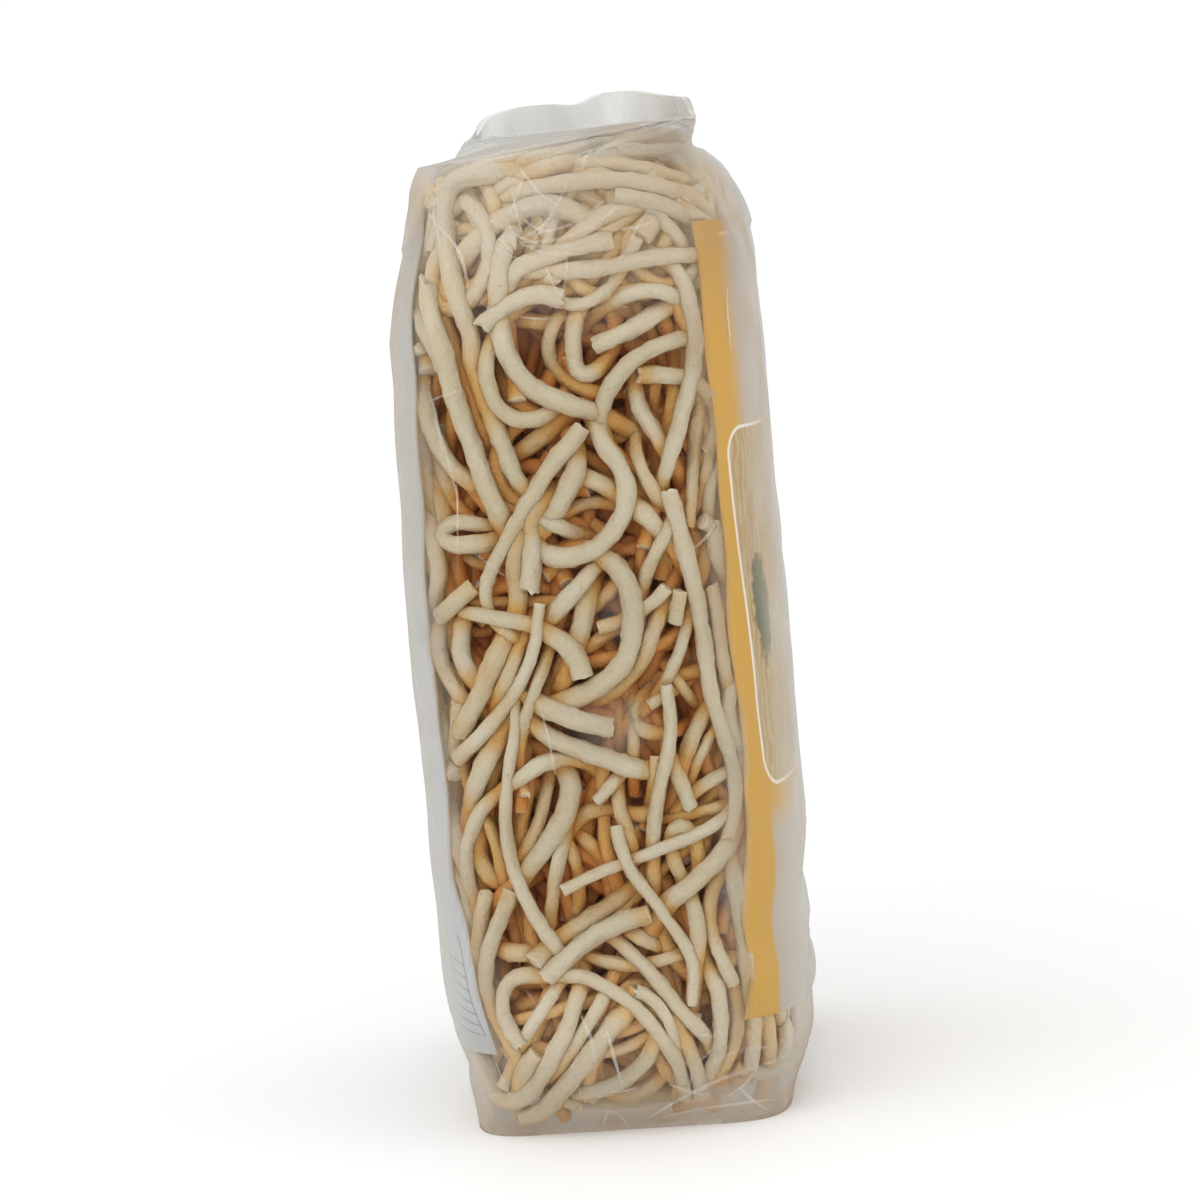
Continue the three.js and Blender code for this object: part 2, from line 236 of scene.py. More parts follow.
    (3.7, 1.8, [(2.3, 121.5), (-0.5, 118.4), (-3.2, 116), (-5.9, 113.2), (-8.3, 111.2)]),
    (3.9, 2.5, [(0.3, 114.5), (-0.9, 110.8), (-2, 107.2), (-3, 104.5)]),
    (3, 3.5, [(2.4, 113.9), (4.3, 115.4), (6, 116.9)]),
    (3, 3, [(0.1, 105), (2.7, 106.6), (5.4, 107.9), (7.1, 109)]),
    (2.7, 0.8, [(12.2, 112), (14.8, 113.8), (17, 115.9)], "last"),
    (3.1, 1, [(19.8, 115), (19.1, 112.2), (18.2, 108.6)], "both"),
    (3.5, 2, [(15.5, 111.4), (13.9, 107.9), (12.5, 104.5), (10.6, 101), (8.4, 98.4), (6.3, 96.6)]),
    (2.6, 2.8, [(17.9, 123.9), (17.6, 120.4), (17.2, 117.4)]),
    (2.5, 2.2, [(20.8, 108.1), (19.5, 104.6), (18.6, 101.9), (17.1, 99.4), (15.7, 96.9)]),
    # left, half way up
    ((4, 2.8), (0.8, 2.5), [(-18.1, 128.5), (-21.3, 128), (-24.6, 128), (-27.2, 128.3), (-28.8, 129.2),
        (-29, 130.9), (-27.9, 132.3), (-25.7, 133), (-22.9, 132.4), (-19.7, 131.8), (-17.1, 131.3)]),
    (3.5, 0.6, [(-30.8, 113.4), (-28, 115.8), (-25.3, 117.8), (-23.7, 119)], "both"),
    ((2.6, 4), (2, 1), [(-26, 114.1), (-22.8, 113.2), (-19.9, 112.2), (-16, 111.3), (-12.1, 110.5),
        (-9.3, 108.8), (-6.5, 106.9), (-4.1, 104.4), (-2.5, 101.7), (-1.9, 98.5)], "both"),
    (2.4, 3.5, [(-19.3, 115.6), (-14.4, 115.3), (-10.1, 115), (-7, 114.7)]),
    ((2.2, 3.5), 0.3, [(-9.8, 114.3), (-10.5, 111), (-10.9, 108), (-11.7, 105.3), (-13.3, 101.5),
        (-15.1, 98.1), (-17.4, 94.9), (-19.9, 92.1), (-22.3, 89.4), (-25, 86.9), (-27.5, 84.8),
        (-29.3, 83)], "both"),
    (3.8, 2, [(-26.4, 110.8), (-27, 107.8), (-27.1, 104.6), (-26, 101.6), (-24.5, 98.8)]),
    (3, 3, [(-31.2, 110.5), (-31.7, 107.3), (-31.4, 103.5), (-30, 100), (-28.3, 96.6), (-27, 95)]),
    (3, 3.5, [(-14, 107), (-16.5, 102), (-18.5, 98)]),
    (2.5, 1.5, [(-9.9, 101.5), (-11.8, 97.2), (-13.2, 94), (-14.7, 90.8), (-15.5, 88)]),
    (4, 3, [(-6.3, 100.7), (-8, 97.5), (-9.5, 95)]),
    # the fan below the middle
    (4.2, 0.8, [(-12.8, 94.4), (-9.6, 92.4), (-6.7, 90.8), (-4.4, 89.7), (-1.5, 88.6), (1.1, 87.8),
        (3.2, 87.6)], "last"),
    (3.9, 1, [(-15.3, 91.8), (-13.5, 90), (-10.8, 87.2), (-7.7, 85), (-4.7, 83.9), (-1.6, 82.3),
        (1.4, 81.3), (4.6, 79.5), (7.7, 78.5), (10.6, 77.9)]),
    ((3.3, 3), (1, 1.6), [(-3.3, 80.7), (-4.8, 81.2), (-7.4, 81.6), (-10.4, 81.2), (-13.3, 80.1),
        (-16.1, 78.2), (-19.3, 76.6), (-22.2, 74.6), (-24.6, 72.8), (-26.4, 70.3), (-27.8, 67.3),
        (-29, 64.6), (-29.4, 61.5), (-29.4, 58.5), (-29, 55.3), (-28.2, 52.3), (-27.4, 50)]),
    (4.2, 1.5, [(-18.5, 90), (-20.6, 86.9), (-22.9, 83.2), (-24.7, 80), (-26.2, 77), (-26.8, 75.3)]),
    (2.8, 2.5, [(-19, 86.2), (-21.3, 81.8), (-22.7, 77.9)]),
    (2.8, 3, [(-28, 79.3), (-27.3, 75.8), (-26, 72.4), (-24.2, 69.5), (-23.2, 65.5), (-22.4, 61.5),
        (-21.8, 58)]),
    ((2.2, 3.3), (0.2, 1.2), [(-16.5, 92.9), (-16.9, 89.3), (-17.8, 84.8), (-18.9, 80.3), (-19.7, 76.1),
        (-20.3, 71.9), (-20.6, 67), (-20.2, 62.5), (-19.5, 58.5), (-18.4, 54.8), (-17.1, 51.5),
        (-15.6, 48), (-13.9, 45), (-12.7, 42.9)]),
    (2.8, 2.2, [(-10.4, 78.1), (-11.6, 73.9), (-12.9, 70), (-14.2, 66.7), (-15.7, 64.2)]),
    (4, 1.3, [(-6.6, 77.5), (-6.2, 74.2), (-7.4, 70.6), (-9.2, 67.5), (-11.5, 64.4), (-14, 61.2),
        (-16.3, 58.6), (-18.2, 56.6)]),
    (3.6, 3, [(-15.7, 75.1), (-16.4, 71.5), (-17, 67.6), (-18.2, 63.1)]),
    (3, 5, [(-13.5, 88), (-15, 84), (-16, 80)]),
    (3.3, 2.8, [(-26.6, 64.6), (-26.3, 61.3), (-25.3, 58.3), (-23.5, 56.2), (-21.2, 55.7)]),
    # right of the fan
    ((2.8, 3.4), (0.2, 2), [(15.4, 95.3), (15.7, 91.7), (15.9, 88.1), (15.4, 84.2), (14.6, 80.4),
        (13.5, 76.8), (12.5, 73.6), (11.6, 70.4), (10.9, 67.2), (10.4, 64.1), (10, 60.9), (10, 57.6),
        (9.7, 54.5)], "first"),
    (2.4, 1.2, [(11.8, 91.6), (13.7, 92.6)], "first"),
    (3.1, 0.8, [(15.8, 78.6), (16.8, 75.3), (18, 71.6), (18.7, 69.3)], "last"),
    (2.4, 1.2, [(12.1, 80.5), (11.6, 77.2), (10.9, 74)], "first"),
    (3.2, 2, [(22.6, 88.3), (20.6, 85.2), (19.1, 82), (17.6, 78.7)]),
    (2.6, 2.6, [(24.2, 84.5), (21.9, 80.8), (20.5, 78.3), (19.4, 75.7)]),
    (2.9, 2, [(26.4, 76.2), (23.5, 74.8), (20.9, 73.3), (19, 72)]),
    (3.2, 3.5, [(23.5, 72.5), (21.5, 70), (19, 67)]),
    (2.5, 1.5, [(21.5, 68.5), (24.5, 69)]),
    (3, 5, [(13.6, 96.7), (11, 94.3), (8.6, 91.5), (8, 88.6), (9.4, 86.5), (12, 85.6)]),
    (2.5, 3, [(18.5, 95.5), (20.5, 92.5)]),
    (3, 4, [(17.5, 97.5), (20.5, 97.9), (23, 98.3)]),
    (2.6, 1.8, [(-0.8, 72.2), (1.6, 74.3), (4, 76.8)], "first"),
    (2.8, 4, [(1.2, 79), (0.6, 75), (0.5, 70), (0.4, 64), (0.8, 60)]),
    (3, 3.5, [(3.6, 74.5), (3.6, 70.2), (4.6, 67), (5.2, 64.5), (5.8, 61.2)]),
    (3, 3, [(5.5, 69), (8, 68.5), (10, 68.7)]),
    (2.8, 5.5, [(4.8, 93), (5, 87), (4.5, 82)]),
    (2.5, 4, [(8, 88), (7.6, 82)]),
    (3.4, 2.5, [(-6, 67.5), (-3.5, 69.5), (-1, 70.3)]),
    # the lower right: long strands that run down to the base
    ((2.6, 2.2), (0.3, 0.8), [(2.8, 66.3), (3.1, 62.7), (4.1, 59.5), (5.3, 56.4), (7.2, 53.5),
        (9.7, 49.7), (12, 45.9), (14.3, 42.2), (16.2, 38.4), (16.9, 35.1), (16.5, 31.8), (16.1, 29.2),
        (15.9, 27.5)], "both"),
    ((3, 3.2), (1.8, 1.6), [(19, 62.8), (17.6, 65.4), (15.5, 65.8), (14, 63.9), (13.9, 60.6),
        (14.7, 57.3), (15.9, 54.2), (17.2, 50.5), (18.1, 46.8), (18.3, 43.2), (18.2, 39.9), (17.5, 36.4),
        (16.9, 33)]),
    (3.8, 1.6, [(28.4, 67.8), (28.1, 65.6), (26.9, 62.4), (24.4, 58.9), (21.6, 56.5), (19, 54),
        (16.4, 51.9), (14, 50.7), (11.9, 48.6)]),
    (2.9, 2.8, [(27, 62), (26.1, 58.5), (24.1, 55), (22.2, 52.2), (21.2, 48.6), (20.9, 44.7),
        (21.7, 40.3), (23, 36.3), (24.4, 32.9), (25, 31.6)], "last"),
    (3.2, (1.4, 2), [(18.8, 38.5), (19.9, 35), (21.2, 31.6), (21.8, 28), (21.8, 24.3), (21.6, 20.7),
        (20.8, 17.1), (19.3, 13.9), (17.9, 11.6)]),
    (3, 3.6, [(25, 30), (25.5, 25.7), (25.2, 21.8), (23.8, 17.2), (21.5, 13.7), (19.2, 10.9)]),
    (3.4, 1.2, [(26.5, 58), (26.9, 54.1), (27.4, 47.5), (27.8, 41), (28, 34.3), (28.6, 28), (28.7, 23),
        (28.2, 17.5), (27.3, 13.3)], "last"),
    (2.6, 3.2, [(15, 59.2), (11.5, 56.5), (8.4, 53.8), (5.6, 51), (2.8, 48.2)]),
    (3, 2.6, [(23.6, 68.4), (21.8, 67), (20.2, 65.6)]),
    (3, 4, [(21, 62), (20.2, 59), (18.8, 56.5)]),
    (3.1, (1.2, 2), [(0.7, 42.4), (3.4, 39.8), (6.4, 36.3), (9.1, 32.8), (11.3, 29.5), (13.2, 26.5),
        (15.9, 23.5), (18.1, 20.6), (19.3, 18.2)]),
    (2.8, 3.5, [(-1, 37.6), (3.8, 36.6), (8.7, 37), (13.4, 38)]),
    (3, 5.5, [(5, 43.2), (9.3, 40.5), (12, 39)]),
    (3.4, 4.2, [(10.5, 46), (11, 42), (12.5, 38.5)]),
    (2.5, 4.5, [(12.5, 36), (13.2, 32), (13.5, 28.5)]),
    ((2.6, 2.4), 0.3, [(4.5, 30.9), (6.9, 29.8), (9, 27.6), (10.4, 24.6), (11.3, 21.7),
        (11.7, 20)], "first"),
    (2.8, 2, [(2.8, 32.2), (4.5, 32.9), (7.3, 31.6), (9.8, 29.1)]),
    (3.2, 1, [(11.5, 24), (13.7, 20.5), (14.8, 17.5), (15.8, 13.8), (16.4, 10.4), (16.7, 7.8)], "last"),
    (3, 3.5, [(7.5, 18.5), (8.8, 15.6), (10, 13.5), (12, 11)]),
    (3, 2, [(31.5, 24), (31.6, 19), (31.2, 15)]),
    # the lower middle: two thick strands that meet, and the arch under them
    ((4, 3.6), (0.9, 3), [(-16.8, 38.7), (-14.2, 41), (-10.7, 43.4), (-6.6, 46), (-2.8, 48), (0.8, 50),
        (4, 52.3), (6.5, 54.5)], "first"),
    (4.2, 0.2, [(-14.3, 35.2), (-11.2, 38), (-8, 40.5), (-5, 42.6), (-1.1, 44.7), (2.9, 46.1),
        (6.2, 46.9), (8.5, 47.4)], "both"),
    ((3.2, 2.8), (2, 0.8), [(-21.1, 21.3), (-22.5, 23.8), (-23.9, 26.8), (-24.3, 30), (-23.8, 32.5),
        (-22.5, 34.9), (-19.2, 35.9), (-15, 35.5), (-10.1, 35.4), (-6.8, 34.9), (-3.4, 33.3),
        (-0.5, 31.3), (2.9, 28.7), (5.7, 25.4), (8.1, 22.1), (10.3, 18.4), (12, 14.7), (12.8, 11),
        (13.1, 7.5)], "both"),
    ((3.2, 2.6), (1.8, 1), [(-9.3, 61.8), (-10.5, 57.6), (-11.4, 53.7), (-12.2, 50.5), (-12.6, 47.5)]),
    (2.8, 4, [(-7.5, 63), (-6.3, 59), (-6, 55.5), (-6.5, 51)]),
    (3, 6, [(-3.6, 63.8), (-0.9, 60.3), (0.4, 55.9), (0.6, 52)]),
    # the lower left
    (3.1, 2, [(-25.7, 54), (-26.7, 50.8), (-27.6, 47.2), (-28.3, 43.6), (-28.9, 40.4),
        (-29.2, 37)], "first"),
    ((3.2, 3), 0.8, [(-20.5, 54), (-21, 52.6), (-22.5, 49.8), (-24, 46.6), (-25.6, 43.5), (-26.7, 40.2),
        (-27.4, 37), (-27.4, 34), (-26.9, 31.4), (-25.8, 28), (-24.5, 24.6), (-23.2, 21.6),
        (-21.8, 18.8)], "first"),
    (3.5, 8, [(-21, 49.5), (-18.5, 46.5), (-17, 43.5)]),
    (3, 4.5, [(-17.5, 49.5), (-17.1, 46.2), (-16.7, 43), (-16, 40)]),
    (2.8, (3, 1), [(-11.6, 33.8), (-14.6, 29.9), (-17.5, 26.1), (-20, 22.3), (-22.1, 18.4), (-23.8, 15.2),
        (-25.4, 12.3)], "last"),
    ((3.3, 4.1), (3.6, 0.2), [(-7.2, 34), (-7.5, 32.4), (-8.9, 29.2), (-10.5, 25), (-12.6, 21.1),
        (-14.9, 17.3), (-17.4, 13.8), (-19.9, 10.8), (-22.7, 9.2), (-25.3, 9.4), (-27.3, 10.8),
        (-28.2, 13.5), (-29.2, 16.3), (-30.3, 18.2)]),
    (4.2, (3.4, 0.6), [(4.8, 31), (1.5, 26.5), (-1.1, 24), (-3.8, 20.9), (-6.3, 17.7), (-8.8, 15.2),
        (-11.7, 12.1), (-14.5, 9.3), (-17.3, 6.8), (-20, 5.5), (-21.3, 5.5)], "both"),
    (2.6, (2.6, 1), [(-3, 29.6), (-4.7, 26.9), (-6.5, 24.4), (-8.3, 21.8), (-9.2, 20.6)]),
    (3.8, 1.6, [(-17.8, 19), (-19.8, 17), (-21.3, 14.1)], "first"),
    (3.3, 1.5, [(7.2, 19), (5.4, 16.1), (2.7, 13.6), (-0.3, 11.9), (-3.4, 10.7), (-5.7, 10.2)]),
    (2.8, 3.6, [(-4.5, 18.2), (-1, 18.6), (1.8, 19.2), (5.9, 21.1)]),
    (2.8, 5, [(-1, 22.5), (2, 23), (5.5, 24.5)]),
    (3.3, 1.9, [(-6.9, 14.1), (-7.3, 11.2), (-6.9, 8.5)], "last"),
    (2.6, 2, [(-12.6, 8.5), (-9.4, 7)], "last"),
    (3.5, 4, [(-16, 27), (-18, 23), (-19.5, 20)]),
    (2.6, 3.5, [(-16.5, 27.3), (-13, 28), (-10.5, 28.5)]),
]

# ---- How strands are made ----
SEED = 20
STRAND_STEP = 1.5  # between the points of a strand that the camera sees
NEAR_SIDES = 14  # of such a strand's cross-section
FAR_STEP = 2.4  # between the points of all other strands
FAR_SIDES = 10
THICKER = 1.06  # than read beside the dark gaps, where edges look drawn in
THICKNESS = (3.5, 0.5)  # of wandering strands: the usual one and its spread
THICKNESS_LIMITS = (2.5, 4.6)
SWELL = 0.04  # how much thicker or thinner a strand gets on its way, as a share
SWELL_POINTS = 4  # from one swelling to the next
TAIL_LENGTHS = (9, 18)  # of what a strand carries on where an end is out of sight
TAIL_DIVE = 6.5  # how much deeper a tail ends
TAIL_BEND = 0.14  # radians from one point of a tail to the next, at most
TAIL_LEVELS = (5, 205)  # lowest and highest
TAIL_GAP = 4  # to the broad faces
# Painted shade where strands lie over each other:
COVER_REACH = 6  # how far off a strand still shades another
COVER_FULL = 5  # millimetres of strand overhead that shade one fully
LOOK_AHEAD = 9  # how soon a wandering strand turns back from the end of its region
CURL = 0.02  # how bent a wandering strand starts, for each millimetre
CURL_CHANGE = 0.012  # from one point to the next
CURL_LOSS = 0.2  # the share of its bend that it loses from one point to the next
TIGHT_TURN_CHANCE = 0.012
TIGHT_TURN = (1, 2.3)  # radians
TIGHTEST_BEND = 7
MOST_TURNED_BACK = 3.5  # radians, after which a strand ends
SHORTEST = 15
DEEPEST = 15.5  # of a strand's middle under the film
ROOF_GAP = 0.9  # between the roof of film and the highest strands
FLOOR_LEVEL = 3.2  # the lowest strands, on the folded end
LEVEL_LENGTHS = (50, 140)  # of the strands at the top and on the folded end
LEVEL_DEPTHS = (0, 6)

# Where wandering strands lie on the wall, as limits of the turn from the middle of the bare side, of
# the distance beside a card's edge, and of the height.
BARE_SIDE = 0.75  # the turn of its middle
BARE_REACH = 0.12
EDGE_REACH = 0.15
EDGE_BAND = (-13, 9)  # under a card's edge and beside it
HIDDEN_BAND = 5  # this near to a card, strands count as hidden
CARD_MARGIN = 12  # strands reach this far under a card
BARE_LEVELS = (7, 204)
WALL_LEVELS = (6, 204)
LIT_LEVEL = 176  # above it, light falls in through the roof
LIT_RISE = 18  # how far up from there it grows

# How strands settle over and under each other.
SETTLE_ROUNDS = 140
LAST_ROUNDS = 12  # in which strands bend more readily
CONTACT = 0.96  # the distance of strands that touch, as a share of their radii together
STIFFNESS = 0.35  # how strongly each point follows the points beside it
RETURN = 0.01  # how strongly a point seeks the depth that it wants
FILM_GAP = 0.2  # between the skin and the nearest strands
CARD_GAP = 0.9  # the same under a card
FACE_GAP = 0.4  # between a strand and the broad faces beside it
CARD_FACE_GAP = 1.2  # the same under a card
UNDER_CARD_LEVELS = (18, 200)

# The shape and the painted shade of one strand.
FLATNESS = (0.9, 1.1)  # limits of how flat or tall a cross-section is
ROUGHNESS = 0.055  # as a share of the radius
RAGGED = (0.06, 0.25)  # a cleanly cut and a broken end, as shares of the radius
RAGGED_SHARES = (0.7, 0.3)
END_WIDTH = 0.93  # of the face of an end, as a share of the strand's
END_LENGTH = 0.22  # how far that face stands out
TURNED_IN_SHADE = 0.8  # on the side of a strand that faces the heap
END_SHADE = 0.5  # in the middle of an end
END_DEPTH = 5

rng = np.random.default_rng(SEED)


# ---- The skin of the pack ----
def half_sizes(height):
    """Half thickness and half width of the pack at a height."""
    height = np.asarray(height, float)
    base = np.clip(1 - height / BASE_RISE, 0, 1) ** 2
    rise = np.clip((height - SHOULDER_START) / (SHOULDER_TOP - SHOULDER_START), 0, 1)
    shoulder = rise ** SHOULDER_EASE
    half_x = HALF_X - BASE_DRAW[0] * base - SHOULDER_DRAW[0] * shoulder
    half_y = HALF_Y - BASE_DRAW[1] * base - SHOULDER_DRAW[1] * shoulder
    return half_x, half_y


def outline(angle, half_x, half_y):
    """A rounded rectangle, at angles from +X."""
    power = 2 / CORNER_POWER
    x = half_x * np.sign(np.cos(angle)) * np.abs(np.cos(angle)) ** power
    y = half_y * np.sign(np.sin(angle)) * np.abs(np.sin(angle)) ** power
    return x, y


# A turn is the share of the way round the fullest outline, from the middle of the front (+X).
_angles = np.linspace(0, 2 * math.pi, 8001)
_outline = np.stack(outline(_angles, HALF_X, HALF_Y), -1)
_lengths = np.concatenate([[0], np.cumsum(np.linalg.norm(np.diff(_outline, axis=0), axis=1))])
GIRTH = _lengths[-1]


def angle_of_turn(turn):
    return np.interp(np.mod(turn, 1) * GIRTH, _lengths, _angles)


def turn_of_angle(angle):
    return np.interp(np.mod(angle, 2 * math.pi), _angles, _lengths) / GIRTH


def off_middle(turn, middle):
    """How far a turn is from another one, the shorter way round, with its sign."""
    return np.mod(np.asarray(turn) - middle + 0.5, 1) - 0.5


def ramp(value):
    """A soft step from 0 to 1."""
    value = np.clip(value, 0, 1)
    return value * value * (3 - 2 * value)


def read(table, value):
    """What a table of pairs says for a value, between its rows too."""
    return np.interp(value, *zip(*table))


def unit(vectors):
    """The same directions with a length of 1."""
    return vectors / np.maximum(np.linalg.norm(vectors, axis=-1, keepdims=True), 1e-9)


def tree_of(points):
    """A tree that finds the points near a place."""
    tree = KDTree(len(points))
    for i, point in enumerate(points):
        tree.insert(point, i)
    tree.balance()
    return tree


def card_cover(turn, height, margin=0.0):
    """1 where a card lies, 0 elsewhere. A margin in millimetres makes the cards smaller."""
    edge = margin / GIRTH
    front = np.abs(off_middle(turn, 0)) < FRONT_REACH - edge
    back = np.abs(off_middle(turn, 0.5)) < BACK_REACH - edge
    rows = (height > CARD_BOTTOM + margin) & (height < CARD_TOP - margin)
    return (front | back) & rows


def half_card(side, heights):
    """Half width of a card, round the bag, at each height."""
    reach = FRONT_REACH if side == "front" else BACK_REACH
    return reach * GIRTH + read(CARD_EDGES[side], heights)


def off_cards(turn, height):
    """Millimetres from the cards' upright edges, negative over a card."""
    to_front = np.abs(off_middle(turn, 0)) * GIRTH - half_card("front", height)
    to_back = np.abs(off_middle(turn, 0.5)) * GIRTH - half_card("back", height)
    return np.minimum(to_front, to_back)


def bump(turn, height):
    """How far the uneven skin swells out, less under the cards."""
    total = sum(
        np.sin(around * turn * 2 * math.pi + phase) * np.cos(height / up * 2 * math.pi + phase)
        for around, up, phase in BUMP_WAVES
    )
    fade = ramp(height / BUMP_FADE) * ramp((FIN_BASE - height) / BUMP_FADE)
    share = np.where(card_cover(turn, height), BUMP_UNDER_CARD, 1)
    return BUMP_HEIGHT * share * fade * total / len(BUMP_WAVES)


def stretch(x, height):
    """What the uneven faces do to a length across the pack, on the side of x."""
    beyond = np.where(x < 0, read(BACK_BEYOND, height), read(FRONT_BEYOND, height))
    return 1 + beyond / half_sizes(height)[0]


def skin(turn, height, inset=0.0):
    """Points of the skin and its outward directions, drawn in by inset."""
    turn, height = np.broadcast_arrays(np.asarray(turn, float), np.asarray(height, float))
    half_x, half_y = half_sizes(height)
    x, y = outline(angle_of_turn(turn), half_x, half_y)
    slope_x = np.sign(x) * np.abs(x / half_x) ** (CORNER_POWER - 1) / half_x
    slope_y = np.sign(y) * np.abs(y / half_y) ** (CORNER_POWER - 1) / half_y
    outward = unit(np.stack([slope_x, slope_y, np.zeros_like(x)], -1))
    middle = np.stack([x * stretch(x, height), y, height], -1)
    return middle + outward * (bump(turn, height) - inset)[..., None], outward


def turn_at(x, y, height):
    """The turn of a place on the skin, or of one that lies inward or outward of it."""
    half_x, half_y = half_sizes(height)
    power = CORNER_POWER / 2
    cosine = np.sign(x) * np.abs(x / stretch(x, height) / half_x) ** power
    sine = np.sign(y) * np.abs(y / half_y) ** power
    return turn_of_angle(np.arctan2(sine, cosine))


def roof_height(x, y):
    """The film's height over the noodles, which slants from both faces up to the swaying fin."""
    half_x, _ = half_sizes(SHOULDER_TOP)
    ridge = fin_sway(y)
    share = np.minimum((x + half_x) / (ridge + half_x), (half_x - x) / (half_x - ridge))
    return SHOULDER_TOP + (FIN_BASE - SHOULDER_TOP) * np.sin(np.clip(share, 0, 1) * math.pi / 2)


def fin_sway(y):
    """The x of the fin, which leans and crosses the pack's top on a slant."""
    sway = np.where(np.asarray(y) > 0, FIN_FAR_SWAY, FIN_SWAY)
    return FIN_LEAN - sway * np.sin(y / FIN_HALF_WIDTH * math.pi / 2)


def fin_crest(y):
    """The height of the fin's upper edge, its corners rounded off."""
    return sum(read(FIN_CREST, y + step) for step in (-CREST_EASE, 0, CREST_EASE)) / 3


def near_side(x, height):
    """The skin's y on the bare side that looks along -Y."""
    half_x, _ = half_sizes(height)
    share = np.clip(np.abs(x) / stretch(x, height) / half_x, 0, 0.985) ** (CORNER_POWER / 2)
    angle = 1.5 * math.pi + np.sign(x) * np.arcsin(share)
    return skin(turn_of_angle(angle), height)[0][..., 1]


# ---- Laying the strands ----
def spline(points, step):
    """A smooth line through the points, in even steps."""
    points = np.asarray(points, float)
    padded = np.concatenate([[2 * points[0] - points[1]], points, [2 * points[-1] - points[-2]]])
    share = np.linspace(0, 1, 12, endpoint=False)[:, None]
    pieces = []
    for a, b, c, d in zip(padded, padded[1:], padded[2:], padded[3:]):
        bend = 2 * a - 5 * b + 4 * c - d
        twist = -a + 3 * b - 3 * c + d
        pieces.append(b + 0.5 * (share * (c - a) + share**2 * bend + share**3 * twist))
    fine = np.concatenate([*pieces, points[-1:]])
    along = np.concatenate([[0], np.cumsum(np.linalg.norm(np.diff(fine, axis=0), axis=1))])
    count = max(4, round(along[-1] / step) + 1)
    even = np.linspace(0, along[-1], count)
    return np.stack([np.interp(even, along, fine[:, axis]) for axis in range(fine.shape[1])], -1)


def between(ends, count):
    """Values from the first of a pair to the second, or one value repeated."""
    first, last = ends if isinstance(ends, tuple) else (ends, ends)
    return np.linspace(first, last, count)


def laid(base, inward, thickness, depth):
    """A strand before it is settled: where it would touch the skin, and how deep it wants to be."""
    count = len(base)
    knots = np.arange(0, count + SWELL_POINTS, SWELL_POINTS)
    swell = np.interp(np.arange(count), knots, rng.normal(0, SWELL, len(knots)))
    radius = thickness / 2 * THICKER * (1 + swell)
    return {"base": base, "inward": inward, "radius": radius, "depth": radius + depth}


def tail(line):
    """Carries a line of x and height on past its last point, bending on as it did."""
    way = np.diff(line[-6:], axis=0)
    headings = np.unwrap(np.arctan2(way[:, 1], way[:, 0]))
    bend = (headings[-1] - headings[0]) / max(1, len(headings) - 1)
    bend = np.clip(bend, -TAIL_BEND, TAIL_BEND)
    count = round(rng.uniform(*TAIL_LENGTHS) / STRAND_STEP)
    ahead = headings[-1] + bend * np.arange(1, count + 1)
    steps = STRAND_STEP * np.stack([np.cos(ahead), np.sin(ahead)], -1)
    more = line[-1] + np.cumsum(steps, axis=0)
    level = np.clip(more[:, 1], 0, SHOULDER_TOP)
    reach = half_sizes(level)[0] * stretch(more[:, 0], level) - TAIL_GAP
    lowest, highest = TAIL_LEVELS
    outside = (np.abs(more[:, 0]) > reach) | (more[:, 1] < lowest) | (more[:, 1] > highest)
    return more[: np.argmax(outside)] if outside.any() else more


def side_strand(thickness, depth, points, shown=""):
    """A strand of the list, laid along the lines of sight so that it shows where it should."""
    line = spline(points, STRAND_STEP)
    thickness = between(thickness, len(line))
    depth = between(depth, len(line))
    for end in ("last", "first"):
        if shown not in (end, "both"):
            more = tail(line)
            line = np.concatenate([line, more])
            sink = TAIL_DIVE * ramp(np.arange(1, len(more) + 1) / 7)
            thickness = np.append(thickness, np.full(len(more), thickness[-1]))
            depth = np.append(depth, depth[-1] + sink)
        line, thickness, depth = line[::-1], thickness[::-1], depth[::-1]
    seen = np.stack([line[:, 0], np.full(len(line), SIGHT_PLANE_Y), line[:, 1]], -1)
    sight = seen - CAMERA_PLACE
    place = seen
    for _ in range(3):
        level = near_side(place[:, 0], place[:, 2])
        place = CAMERA_PLACE + sight * ((level - CAMERA_PLACE[1]) / sight[:, 1])[:, None]
    return laid(place, unit(sight), thickness, depth)


def toward(heading, length):
    """A step in the plane."""
    return length * np.array([math.cos(heading), math.sin(heading)])


def wander(start, heading, length, stays):
    """A loose line in the plane that bends gently, turns tight now and then, and stays inside."""
    place = np.array(start, float)
    line = [place]
    curl = rng.normal(0, CURL)
    turning = 0
    turned_back = 0
    for _ in range(int(length / FAR_STEP)):
        if turning > 0:
            turning -= 1
        elif not stays(place + toward(heading, LOOK_AHEAD)):
            inside = stays(place + toward(heading + 1, LOOK_AHEAD))
            curl = (1 if inside else -1) / TIGHTEST_BEND
            turned_back += FAR_STEP / TIGHTEST_BEND
            if turned_back > MOST_TURNED_BACK:
                break
        else:
            curl += -CURL_LOSS * curl + rng.normal(0, CURL_CHANGE)
            if rng.random() < TIGHT_TURN_CHANCE:
                curl = rng.choice([-1, 1]) / rng.uniform(TIGHTEST_BEND, 2 * TIGHTEST_BEND)
                turning = int(rng.uniform(*TIGHT_TURN) / abs(curl) / FAR_STEP)
        heading += curl * FAR_STEP
        place = place + toward(heading, FAR_STEP)
        if not stays(place):
            break
        line.append(place)
    return np.array(line)


def strand_thickness():
    return float(np.clip(rng.normal(*THICKNESS), *THICKNESS_LIMITS))


